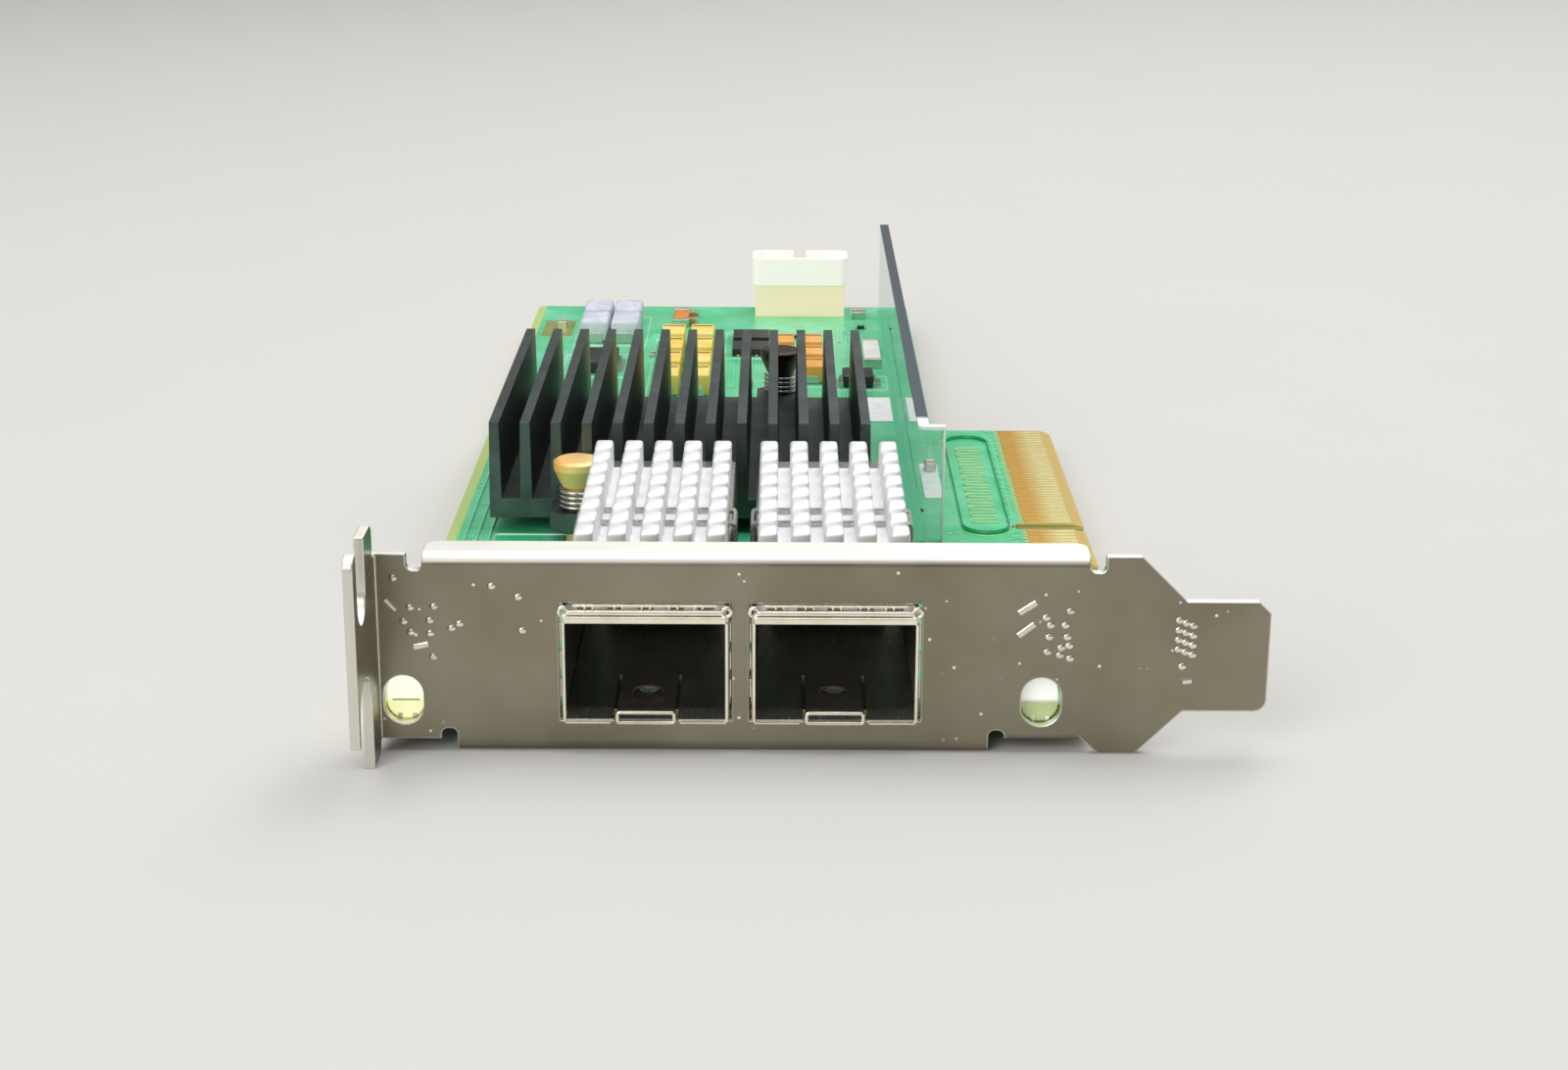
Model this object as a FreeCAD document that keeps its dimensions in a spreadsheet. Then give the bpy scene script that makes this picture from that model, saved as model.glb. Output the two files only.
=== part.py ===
import FreeCAD, Part
import math
import operator
import os
import Sketcher

# A low-profile, half-length network interface card with two pluggable ports.
#
# The card lies with its component side up.  Card coordinates, in millimetres:
#   X  across the card, from the outer face of the bracket's flange to the bracket's tongue
#   Y  along the card, from the front face of the bracket to the rear edge of the board
#   Z  up, from the lower edge of the bracket
# The document's own origin is under the middle of the card's footprint, so every sub-part's
# Placement takes off half the card's width and length.

# --------------------------------------------------------------------------- driving sizes

SIZES = [
    # bracket: one folded sheet
    ("sheet", 0.86, "thickness of the bracket sheet"),
    ("bracket_length", 79.2, "flange to tip of tongue"),
    ("plate_height", 18.42, "height of the bracket plate"),
    ("bend_radius", 1.1, "outer radius of the folds"),
    ("flange_depth", 11.43, "flange, in front of the plate"),
    ("arm_rise", 3.17, "tall arms of the flange above the plate"),
    ("lobe_start", 1.0, "plate face to the tall arms"),
    ("screw_slot_width", 4.42, "open slot for the case screw"),
    ("screw_slot_middle", 7.5, "plate face to the slot's axis"),
    ("screw_slot_floor", 14.6, "lowest point of the slot"),
    ("neighbour_notch_width", 6.6, "clearance for the next slot's screw"),
    ("neighbour_notch_top", 9.5, "top of that clearance"),
    ("near_arm_bottom", 4.7, "lower end of the flange's near arm"),
    ("tongue_width", 10.19, "tongue that enters the chassis"),
    ("tongue_length", 7.4, "straight length of the tongue"),
    ("tongue_corner", 1.1, "corners of the tongue, flange, lips and ears"),
    ("top_lip_start", 4.95, "left end of the top lip"),
    ("top_lip_inset", 16.0, "right end of the top lip, from the tongue's tip"),
    ("top_lip_depth", 3.9, "top lip, over both folds"),
    ("low_lip_start", 7.6, "left end of the lower lip"),
    ("low_lip_inset", 24.5, "right end of the lower lip, from the tongue's tip"),
    ("low_lip_depth", 3.2, "lower lip, over both folds"),
    ("relief_width", 1.4, "bend reliefs beside lips and ears"),
    ("top_relief_depth", 1.5, "depth of the reliefs in the top edge"),
    ("low_relief_top", 2.2, "top of the reliefs in the lower edge"),
    ("relief_corner", 0.55, "rounding in the reliefs"),
    ("ear_depth", 11.8, "ears that carry the board"),
    ("ear_right_inset", 16.0, "right end of the right ear, from the tongue's tip"),
    ("foot_inset", 14.7, "start of the right foot of the plate, from the tongue's tip"),
    ("led_window_width", 3.5, "windows for the lamps"),
    ("led_window_height", 4.6, "windows for the lamps"),
    ("led_window_middle", 4.9, "height of the windows' middle"),
    ("led_left_x", 2.97, "left window"),
    ("led_right_inset", 19.92, "right window, from the tongue's tip"),
    ("port_window_width", 15.2, "opening for a cage"),
    ("port_window_floor", 3.0, "lower edge of that opening"),
    ("port_window_top", 14.0, "upper edge of that opening"),
    ("board_screw_diameter", 3.0, "screws that hold board and ears"),
    ("board_screw_head_diameter", 5.2, "pan head"),
    ("board_screw_head_height", 1.7, "pan head"),
    ("board_screw_slot", 0.8, "arm width of the cross recess"),
    ("board_screw_y", 8.6, "screws, behind the plate"),
    ("screw_left_x", 4.1, "screw in the left ear"),
    ("screw_right_inset", 19.5, "screw in the right ear, from the tongue's tip"),
    ("screw_tip_below_ear", 0.5, "thread end under the ear"),
    ("hole_clearance", 0.15, "play round a screw or pin, all sides"),
    # board
    ("board_thickness", 1.57, "board"),
    ("board_underside", 2.1, "underside of the board, seated on the ears"),
    ("board_front_gap", 0.2, "plate to front edge of the board"),
    ("board_left", 0.5, "left edge of the board"),
    ("board_right", 54.8, "right edge behind the edge connector"),
    ("board_length", 163.9, "front edge to rear edge"),
    ("board_corner", 0.8, "free corners of the board"),
    ("shoulder_inset", 14.9, "right edge beside the ports, from the bracket's tip"),
    ("shoulder_end", 43.1, "end of that shoulder"),
    ("shoulder_step", 1.0, "step in the board behind the shoulder"),
    ("tab_gap", 0.5, "shoulder to edge connector"),
    ("tab_inset", 9.8, "tip of the edge connector, from the bracket's tip"),
    ("tab_front_width", 11.65, "tab in front of the key"),
    ("key_width", 1.9, "key notch"),
    ("tab_rear_width", 38.65, "tab behind the key"),
    ("key_depth", 8.0, "depth of the key notch"),
    ("bevel_length", 1.3, "bevel on the tab's tip"),
    ("bevel_depth", 0.42, "bevel on each face"),
    ("contact_pitch", 1.0, "edge contacts"),
    ("contact_width", 0.7, "edge contacts"),
    ("contact_length", 5.2, "edge contacts"),
    ("contact_plating", 0.06, "thickness of the contacts"),
    ("contacts_front", 11, "contacts in front of the key"),
    ("contacts_rear", 38, "contacts behind the key"),
    # cages
    ("port_left_x", 24.35, "middle of the left port"),
    ("port_pitch", 16.7, "left port to right port"),
    ("cage_sheet", 0.25, "sheet of the cages"),
    ("cage_width", 14.65, "cage over its walls"),
    ("cage_height", 9.65, "cage above the board"),
    ("cage_proud", 0.5, "cage in front of the plate"),
    ("cage_rear", 47.6, "rear wall of the cage"),
    ("cage_fold", 0.5, "outer radius of the cage's folds"),
    ("cage_rear_slot", 1.6, "gap under the rear wall for the leads"),
    ("cage_pin_width", 0.55, "press-fit pins"),
    ("cage_pin_length", 2.3, "press-fit pins, below the board's top"),
    ("cage_pin_first", 12.0, "first pin behind the plate"),
    ("cage_pin_pitch", 11.0, "pins along a wall"),
    ("cage_pin_count", 3, "pins along a wall"),
    ("cage_floor_rear", 34.0, "rear edge of the cage floor"),
    ("floor_play", 0.05, "cage floor to wall"),
    ("latch_width", 5.2, "latch tongue in the floor"),
    ("latch_length", 9.0, "latch tongue"),
    ("latch_slit", 0.25, "slits beside the tongue"),
    ("latch_hole", 2.4, "triangular catch hole"),
    ("latch_hole_y", 3.6, "front corner of the catch hole"),
    ("floor_lip", 0.6, "fall of the floor's flared front edge"),
    ("roof_window_half", 5.5, "roof window, half its width"),
    ("roof_window_front", 14.0, "roof window"),
    ("roof_window_rear", 36.0, "roof window"),
    ("spring_sheet", 0.12, "grounding collar"),
    ("spring_band_front", 1.9, "band of the collar"),
    ("spring_band_rear", 4.6, "band of the collar"),
    ("spring_tip", 0.35, "finger tips in front of the plate"),
    ("spring_finger", 1.9, "width of a finger"),
    ("spring_finger_pitch", 2.65, "fingers on the roof"),
    ("spring_finger_count", 5, "fingers on the roof"),
    ("spring_side_count", 3, "fingers on each wall"),
    ("spring_play", 0.04, "finger to edge of the plate's opening"),
    # heat sinks on the cages
    ("pin_base", 1.4, "base plate of a cage heat sink"),
    ("pin_size", 1.8, "pins, across the card"),
    ("pin_pitch", 3.0, "columns of pins"),
    ("pin_columns", 5, "columns of pins"),
    ("pin_height", 2.9, "pins above the base plate"),
    ("pin_round", 0.45, "broken corners of the pins' tops"),
    ("pin_row_length", 2.7, "pins, along the card"),
    ("pin_row_pitch", 4.1, "rows of pins"),
    ("pin_rows", 8, "rows of pins"),
    ("pin_sink_rear", 40.5, "rear end of a cage heat sink"),
    ("pedestal_play", 0.5, "pedestal to roof window"),
    ("pedestal_drop", 0.35, "pedestal below the cage's roof sheet"),
    ("clip_sheet", 0.35, "spring clip over a cage heat sink"),
    ("clip_play", 0.05, "clip to cage wall"),
    ("clip_arm", 0.9, "width of a cross arm"),
    ("clip_rows_behind", 4, "rows of pins behind the clip"),
    ("clip_drop", 6.2, "side plates, down from the cage roof"),
    ("clip_window_height", 1.6, "catch window in a side plate"),
    ("lance_height", 1.1, "catch on the cage wall"),
    ("lance_out", 0.35, "catch on the cage wall"),
    # connectors inside the cages
    ("host_width", 11.6, "connector inside a cage"),
    ("host_height", 6.4, "connector inside a cage"),
    ("host_front", 36.2, "front face of that connector"),
    ("host_depth", 9.2, "connector inside a cage"),
    ("host_slot_width", 9.6, "mating slot"),
    ("host_slot_height", 1.5, "mating slot"),
    ("host_slot_floor", 2.5, "mating slot"),
    ("host_slot_depth", 6.0, "mating slot"),
    ("host_lead_pitch", 0.8, "leads"),
    ("host_lead_width", 0.3, "leads"),
    ("host_lead_count", 10, "leads in one row"),
    ("host_lead_foot", 1.1, "foot of a lead on the board"),
    # main heat sink, its chip and its fasteners
    ("sink_left", 5.0, "main heat sink"),
    ("sink_front", 53.0, "main heat sink"),
    ("sink_length", 44.0, "main heat sink"),
    ("sink_base_bottom", 5.4, "underside of its base"),
    ("sink_base", 2.1, "thickness of its base"),
    ("sink_top", 16.0, "tips of its fins"),
    ("fin_thickness", 1.3, "fins"),
    ("fin_pitch", 3.3, "fins"),
    ("fin_count", 13, "fins"),
    ("lug_radius", 2.9, "lugs for the push pins"),
    ("lug_reach", 3.0, "pin axis in front of or behind the fins"),
    ("push_pin_inset", 9.7, "pin axis from the sink's side"),
    ("chip_size", 25.0, "controller package"),
    ("chip_substrate", 0.75, "package substrate with its solder balls"),
    ("chip_cap_size", 21.0, "moulded top of the package"),
    ("chip_height", 1.35, "package above the board"),
    ("push_pin_shaft", 2.6, "push pin shaft diameter"),
    ("push_pin_head", 5.0, "push pin head diameter"),
    ("push_pin_top", 12.9, "top of the push pin"),
    ("push_pin_head_height", 3.0, "head with its cone"),
    ("push_pin_rim", 1.0, "rim of the head"),
    ("push_pin_bevel", 0.4, "bevel of the head, inwards"),
    ("push_pin_bevel_height", 0.25, "bevel of the head"),
    ("push_pin_barb", 3.5, "barb diameter under the board"),
    ("push_pin_land", 0.3, "straight land of the barb"),
    ("push_pin_tip", 0.35, "height of the pin's tip"),
    ("push_pin_split", 0.6, "slit in the barb"),
    ("coil_wire", 0.42, "spring wire"),
    ("coil_diameter", 3.7, "spring, middle of the wire"),
    ("coil_turns", 3.5, "spring"),
    # lamps
    ("lamp_width", 3.3, "lamps behind the bracket"),
    ("lamp_height", 3.3, "lamps above the board"),
    ("lamp_drop", 1.0, "lens below the board's top face"),
    ("lamp_notch_play", 0.3, "board's notch to the lens, each side"),
    ("lamp_front", 1.25, "front of the lens"),
    ("lamp_lens_depth", 1.3, "lens"),
    ("lamp_body_depth", 1.5, "housing behind the lens"),
    ("lamp_body_height", 2.3, "housing behind the lens"),
    ("lamp_foot", 0.8, "solder feet"),
    # rear header
    ("header_left", 32.1, "left side of the rear header"),
    ("header_width", 13.8, "rear header's shroud"),
    ("header_depth", 6.4, "rear header's shroud"),
    ("header_height", 8.6, "rear header"),
    ("header_base_height", 4.6, "narrower base under the shroud"),
    ("header_base_inset", 0.4, "shroud over the base, each side"),
    ("header_setback", 0.2, "header to rear edge of the board"),
    ("header_wall", 0.9, "walls of the shroud"),
    ("header_cavity_depth", 5.8, "mating cavity"),
    ("header_corner", 1.2, "rounded corners of the shroud"),
    ("header_pin", 0.5, "square pins"),
    ("header_pin_pitch", 2.0, "pins and rows of pins"),
    ("header_pin_count", 5, "pins in a row"),
    ("header_pin_top", 7.4, "pin ends above the board"),
    ("header_tail", 1.3, "tails under the board"),
    # parts soldered to the board
    ("inductor_width", 3.9, "power inductors"),
    ("inductor_length", 6.8, "power inductors"),
    ("inductor_height", 3.1, "power inductors"),
    ("inductor_left", 8.2, "power inductors"),
    ("inductor_front", 141.4, "first power inductor"),
    ("inductor_pitch_x", 4.3, "power inductors"),
    ("inductor_pitch_y", 7.8, "power inductors"),
    ("inductor_rows", 2, "power inductors"),
    ("bulk_width", 3.2, "large moulded capacitors"),
    ("bulk_length", 6.0, "large moulded capacitors"),
    ("bulk_height", 2.8, "large moulded capacitors"),
    ("bulk_left", 19.8, "large moulded capacitors"),
    ("bulk_front", 111.8, "first large moulded capacitor"),
    ("bulk_pitch_x", 4.0, "large moulded capacitors"),
    ("bulk_pitch_y", 7.9, "large moulded capacitors"),
    ("bulk_rows", 4, "large moulded capacitors"),
    ("small_bulk_width", 2.8, "small moulded capacitors"),
    ("small_bulk_length", 5.2, "small moulded capacitors"),
    ("small_bulk_height", 2.4, "small moulded capacitors"),
    ("small_bulk_left", 35.3, "small moulded capacitors"),
    ("small_bulk_front", 118.6, "first small moulded capacitor"),
    ("small_bulk_pitch_x", 3.8, "small moulded capacitors"),
    ("small_bulk_pitch_y", 7.0, "small moulded capacitors"),
    ("small_bulk_rows", 3, "small moulded capacitors"),
    ("moulded_columns", 2, "columns of each kind of moulded part"),
    ("moulded_terminal", 1.3, "wrap-round terminals of moulded parts"),
    ("terminal_lift", 0.12, "terminals over the moulded body's foot"),
    ("ceramic_length", 2.0, "ceramic capacitors"),
    ("ceramic_width", 1.25, "ceramic capacitors"),
    ("ceramic_height", 1.1, "ceramic capacitors"),
    ("ceramic_terminal", 0.45, "their end caps"),
    ("resistor_length", 1.6, "chip resistors"),
    ("resistor_width", 0.8, "chip resistors"),
    ("resistor_height", 0.5, "chip resistors"),
    ("resistor_terminal", 0.3, "their end caps"),
    ("end_cap_lift", 0.04, "end caps over the body"),
    ("leaded_lead_width", 0.42, "leads of small-outline packages"),
    ("leaded_lead_pitch", 1.27, "leads of small-outline packages"),
    ("leaded_lead_thickness", 0.2, "leads of small-outline packages"),
    ("leaded_lead_reach", 1.05, "leads beside the package"),
    ("flash_length", 5.0, "memory package"),
    ("flash_width", 4.0, "memory package"),
    ("flash_height", 1.6, "memory package"),
    ("flash_x", 46.4, "memory package"),
    ("flash_y", 119.0, "memory package"),
    ("driver_length", 8.8, "regulator package"),
    ("driver_width", 4.0, "regulator package"),
    ("driver_height", 1.6, "regulator package"),
    ("driver_x", 12.2, "regulator package"),
    ("driver_y", 128.0, "regulator package"),
    ("lead_seat", 0.1, "package body above the board"),
    ("switch_size", 5.0, "power switch packages"),
    ("switch_height", 1.0, "power switch packages"),
    ("switch_left", 29.6, "power switch packages"),
    ("switch_front", 134.0, "first power switch"),
    ("switch_pitch", 7.0, "power switches"),
    ("crystal_length", 5.0, "crystal can"),
    ("crystal_width", 3.2, "crystal can"),
    ("crystal_height", 1.2, "crystal can"),
    ("crystal_x", 8.6, "crystal can"),
    ("crystal_y", 104.0, "crystal can"),
    # guard along the right edge
    ("guard_x", 50.7, "left face of the clear guard"),
    ("guard_thickness", 1.2, "clear guard"),
    ("guard_top", 16.5, "top edge of the guard"),
    ("guard_front", 50.0, "front edge of the guard"),
    ("guard_lip", 1.7, "outward lip at its front"),
    ("guard_rear_gap", 2.0, "rear edge of the guard to the board's"),
    ("guard_peg", 1.6, "pegs through the board"),
    ("guard_peg_inset", 12.0, "pegs from the guard's ends"),
    ("guard_peg_below", 0.8, "pegs under the board"),
]

doc = FreeCAD.newDocument("network_interface_card")
sheet_object = doc.addObject("Spreadsheet::Sheet", "sizes")


class Size:
    """A size of the sheet, or one worked out from others: its number and its expression."""

    def __init__(self, value, text):
        self.value = value
        self.text = text

    def __add__(self, other):
        return combined(self, "+", other)

    def __radd__(self, other):
        return combined(other, "+", self)

    def __sub__(self, other):
        return combined(self, "-", other)

    def __rsub__(self, other):
        return combined(other, "-", self)

    def __mul__(self, other):
        return combined(self, "*", other)

    def __rmul__(self, other):
        return combined(other, "*", self)

    def __truediv__(self, other):
        return combined(self, "/", other)

    def __neg__(self):
        return combined(0, "-", self)


OPERATIONS = {"+": operator.add, "-": operator.sub, "*": operator.mul, "/": operator.truediv}


def as_size(value):
    """Wrap a plain number, so that it can stand beside the sheet's sizes."""
    if isinstance(value, Size):
        return value
    return Size(float(value), "(%r)" % float(value))


def combined(left, sign, right):
    """Work out one size from two, as a number and as an expression."""
    left = as_size(left)
    right = as_size(right)
    value = OPERATIONS[sign](left.value, right.value)
    return Size(value, "(%s %s %s)" % (left.text, sign, right.text))


def fill_sheet():
    """Write the driving sizes to the sheet and return them by name."""
    named = {}
    for row, (alias, value, note) in enumerate(SIZES, 1):
        sheet_object.set("A%d" % row, alias)
        sheet_object.set("B%d" % row, str(value))
        sheet_object.set("C%d" % row, note)
        sheet_object.setAlias("B%d" % row, alias)
        named[alias] = Size(value, "sizes.%s" % alias)
    doc.recompute()
    return named


class Names:
    """The sheet's sizes as attributes: z.sheet, z.board_thickness and so on."""

    def __init__(self, named):
        self.__dict__.update(named)


z = Names(fill_sheet())

# --------------------------------------------------------------------------- derived places

board_top = z.board_underside + z.board_thickness
board_front = z.sheet + z.board_front_gap
board_rear = board_front + z.board_length
shoulder = (z.plate_height - z.tongue_width) / 2
tongue_start = z.bracket_length - z.tongue_length
shoulder_start = tongue_start - shoulder
flange_height = z.plate_height + z.arm_rise
top_lip_end = z.bracket_length - z.top_lip_inset
low_lip_end = z.bracket_length - z.low_lip_inset
foot_start = z.bracket_length - z.foot_inset
ear_under = z.board_underside - z.sheet
ear_left_end = z.low_lip_start - z.relief_width
ear_right_start = low_lip_end + z.relief_width
ear_right_end = z.bracket_length - z.ear_right_inset
led_right_x = z.bracket_length - z.led_right_inset
screw_right_x = z.bracket_length - z.screw_right_inset
shoulder_right = z.bracket_length - z.shoulder_inset
tab_tip = z.bracket_length - z.tab_inset
tab_front = z.shoulder_end + z.tab_gap
key_front = tab_front + z.tab_front_width
key_rear = key_front + z.key_width
tab_rear = key_rear + z.tab_rear_width
port_x = {"left": z.port_left_x, "right": z.port_left_x + z.port_pitch}
half_cage = z.cage_width / 2
pin_sink_width = (z.pin_columns - 1) * z.pin_pitch + z.pin_size
pin_sink_length = (z.pin_rows - 1) * z.pin_row_pitch + z.pin_row_length
pin_sink_front = z.pin_sink_rear - pin_sink_length
pin_row_gap = z.pin_row_pitch - z.pin_row_length
clip_middle = z.pin_sink_rear - (z.clip_rows_behind + 0.5) * z.pin_row_pitch + pin_row_gap / 2
sink_width = (z.fin_count - 1) * z.fin_pitch + z.fin_thickness
sink_rear = z.sink_front + z.sink_length
sink_base_top = z.sink_base_bottom + z.sink_base
push_pin_places = {
    "front": (z.sink_left + z.push_pin_inset, z.sink_front - z.lug_reach),
    "rear": (z.sink_left + sink_width - z.push_pin_inset, sink_rear + z.lug_reach),
}
header_front = board_rear - z.header_setback - z.header_depth
header_middle = header_front + z.header_depth / 2
header_rows = [header_middle - z.header_pin_pitch / 2, header_middle + z.header_pin_pitch / 2]
first_header_pin = (
    z.header_left + z.header_width / 2 - (z.header_pin_count - 1) * z.header_pin_pitch / 2
)
guard_rear = board_rear - z.guard_rear_gap
guard_peg_x = z.guard_x + z.guard_thickness / 2
guard_peg_places = [z.guard_front + z.guard_peg_inset, guard_rear - z.guard_peg_inset]
origin_x = z.bracket_length / 2
origin_y = (board_rear - z.flange_depth) / 2

# --------------------------------------------------------------------------- shared helpers

PLANES = {"XY": ("XY_Plane", 1), "XZ": ("XZ_Plane", -1), "YZ": ("YZ_Plane", 1)}
NODES = []


def bind(item, path, size):
    """Tie one property of an object to the sheet."""
    item.setExpression(path, as_size(size).text)


def origin_feature(body, role):
    """Return one of a body's own origin planes or axes."""
    for feature in body.Origin.OriginFeatures:
        if feature.Role == role:
            return feature
    raise ValueError(role)


def place(item, x, y, height):
    """Put a sub-part's own origin at a point given in card coordinates."""
    bind(item, "Placement.Base.x", x - origin_x)
    bind(item, "Placement.Base.y", y - origin_y)
    bind(item, "Placement.Base.z", height)


def new_node(name, x=0, y=0, height=0):
    """Start the body of one sub-part, with its own origin at a point of the card."""
    body = doc.addObject("PartDesign::Body", name)
    body.Label = name
    place(body, as_size(x), as_size(y), as_size(height))
    NODES.append(body)
    return body


class Profile:
    """A sketch on a body's origin plane, moved along that plane's axis to a given place."""

    def __init__(self, body, plane, at=0):
        role, self.sense = PLANES[plane]
        self.body = body
        self.sketch = body.newObject("Sketcher::SketchObject", body.Name + "_sketch")
        self.sketch.AttachmentSupport = [(origin_feature(body, role), "")]
        self.sketch.MapMode = "FlatFace"
        bind(self.sketch, "AttachmentOffset.Base.z", self.sense * as_size(at))

    def fix(self, line, end, across, up):
        """Hold one point of the sketch at its two distances from the sketch's origin."""
        for kind, size in (("DistanceX", as_size(across)), ("DistanceY", as_size(up))):
            rule = Sketcher.Constraint(kind, -1, 1, line, end, size.value)
            index = self.sketch.addConstraint(rule)
            self.sketch.setExpression("Constraints[%d]" % index, size.text)

    def outline(self, points):
        """Draw a closed run of straight edges through the points."""
        corners = [(as_size(across), as_size(up)) for across, up in points]
        vectors = [FreeCAD.Vector(across.value, up.value, 0) for across, up in corners]
        first = self.sketch.GeometryCount
        count = len(corners)
        edges = [Part.LineSegment(vectors[i], vectors[(i + 1) % count]) for i in range(count)]
        self.sketch.addGeometry(edges)
        joints = []
        for i in range(count):
            joints.append(Sketcher.Constraint("Coincident", first + i, 2, first + (i + 1) % count, 1))
        self.sketch.addConstraint(joints)
        for i, (across, up) in enumerate(corners):
            self.fix(first + i, 1, across, up)
        return self

    def rectangle(self, left, bottom, right, top):
        """Draw a rectangle between two corners."""
        return self.outline([(left, bottom), (right, bottom), (right, top), (left, top)])

    def circle(self, across, up, radius):
        """Draw a circle."""
        across = as_size(across)
        up = as_size(up)
        radius = as_size(radius)
        centre = FreeCAD.Vector(across.value, up.value, 0)
        normal = FreeCAD.Vector(0, 0, 1)
        index = self.sketch.addGeometry(Part.Circle(centre, normal, radius.value))
        rule = self.sketch.addConstraint(Sketcher.Constraint("Radius", index, radius.value))
        self.sketch.setExpression("Constraints[%d]" % rule, radius.text)
        self.fix(index, 3, across, up)
        return self

    def obround(self, across, low, high, width):
        """Draw an upright slot with round ends between two heights."""
        across = as_size(across)
        radius = as_size(width) / 2
        lower = as_size(low) + radius
        upper = as_size(high) - radius
        normal = FreeCAD.Vector(0, 0, 1)
        first = self.sketch.GeometryCount
        right = across + radius
        left = across - radius
        ends = []
        for height, start in ((upper, 0.0), (lower, math.pi)):
            centre = FreeCAD.Vector(across.value, height.value, 0)
            circle = Part.Circle(centre, normal, radius.value)
            ends.append(Part.ArcOfCircle(circle, start, start + math.pi))
        sides = []
        for side, start, stop in ((left, upper, lower), (right, lower, upper)):
            start_point = FreeCAD.Vector(side.value, start.value, 0)
            stop_point = FreeCAD.Vector(side.value, stop.value, 0)
            sides.append(Part.LineSegment(start_point, stop_point))
        self.sketch.addGeometry([ends[0], sides[0], ends[1], sides[1]])
        for step in range(4):
            here = first + step
            following = first + (step + 1) % 4
            self.sketch.addConstraint(Sketcher.Constraint("Tangent", here, 2, following, 1))
        for arc in (first, first + 2):
            rule = self.sketch.addConstraint(Sketcher.Constraint("Radius", arc, radius.value))
            self.sketch.setExpression("Constraints[%d]" % rule, radius.text)
        self.fix(first, 3, across, upper)
        self.fix(first + 2, 3, across, lower)
        return self


def refresh(*items):
    """Recompute new features in order and stop at one that fails."""
    for item in items:
        item.recompute()
        if "Invalid" in item.State or "Error" in item.State:
            raise RuntimeError("%s: %s" % (item.Name, item.State))
        if not item.Shape.isValid():
            raise RuntimeError("%s is not sound" % item.Name)


def new_feature(body, kind):
    """Add one PartDesign feature to a body, on top of what it has."""
    return body.newObject("PartDesign::" + kind, "%s_%s" % (body.Name, kind.lower()))


def pad(profile, length):
    """Pad a profile toward the positive side of its plane."""
    feature = new_feature(profile.body, "Pad")
    feature.Profile = profile.sketch
    feature.Reversed = profile.sense < 0
    bind(feature, "Length", length)
    refresh(profile.sketch, feature)
    return feature


def pocket(profile, depth):
    """Cut a profile toward the positive side of its plane."""
    before = profile.body.Tip.Shape.Volume
    feature = new_feature(profile.body, "Pocket")
    feature.Profile = profile.sketch
    feature.Reversed = profile.sense > 0
    bind(feature, "Length", depth)
    refresh(profile.sketch, feature)
    if feature.Shape.Volume > before - 1e-6:
        raise RuntimeError("%s cuts nothing" % feature.Name)
    return feature


def repeat(body, features, axis, count, spacing):
    """Repeat features along a body's own axis."""
    pattern = new_feature(body, "LinearPattern")
    pattern.Originals = features
    pattern.Direction = (origin_feature(body, axis + "_Axis"), [""])
    bind(pattern, "Length", (count - 1) * spacing)
    bind(pattern, "Occurrences", count)
    body.Tip = pattern
    refresh(pattern)
    return pattern


def edges_along(shape, axis, spots):
    """Name the straight edges that run along an axis through the given spots.

    A spot gives two or three coordinates by letter, such as {"x": 1.0, "z": 2.0}.
    """
    names = []
    for index, edge in enumerate(shape.Edges, 1):
        if edge.Curve.TypeId != "Part::GeomLine" or abs(getattr(edge.tangentAt(0), axis)) < 0.999:
            continue
        middle = edge.CenterOfMass
        for spot in spots:
            if all(abs(getattr(middle, key) - as_size(size).value) < 0.01 for key, size in spot.items()):
                names.append("Edge%d" % index)
                break
    if not names:
        raise ValueError("no edge along %s at %s" % (axis, spots))
    return names


def dress(body, kind, radius, axis, spots):
    """Fillet or chamfer the edges of a body that run along an axis through the spots."""
    base = body.Tip
    feature = new_feature(body, kind)
    feature.Base = (base, edges_along(base.Shape, axis, spots))
    bind(feature, "Radius" if kind == "Fillet" else "Size", radius)
    refresh(feature)
    return feature


def revolve(profile):
    """Turn a profile full circle round its body's upright axis."""
    feature = new_feature(profile.body, "Revolution")
    feature.Profile = profile.sketch
    feature.ReferenceAxis = (origin_feature(profile.body, "Z_Axis"), [""])
    refresh(profile.sketch, feature)
    return feature


# --------------------------------------------------------------------------- bracket


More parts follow.
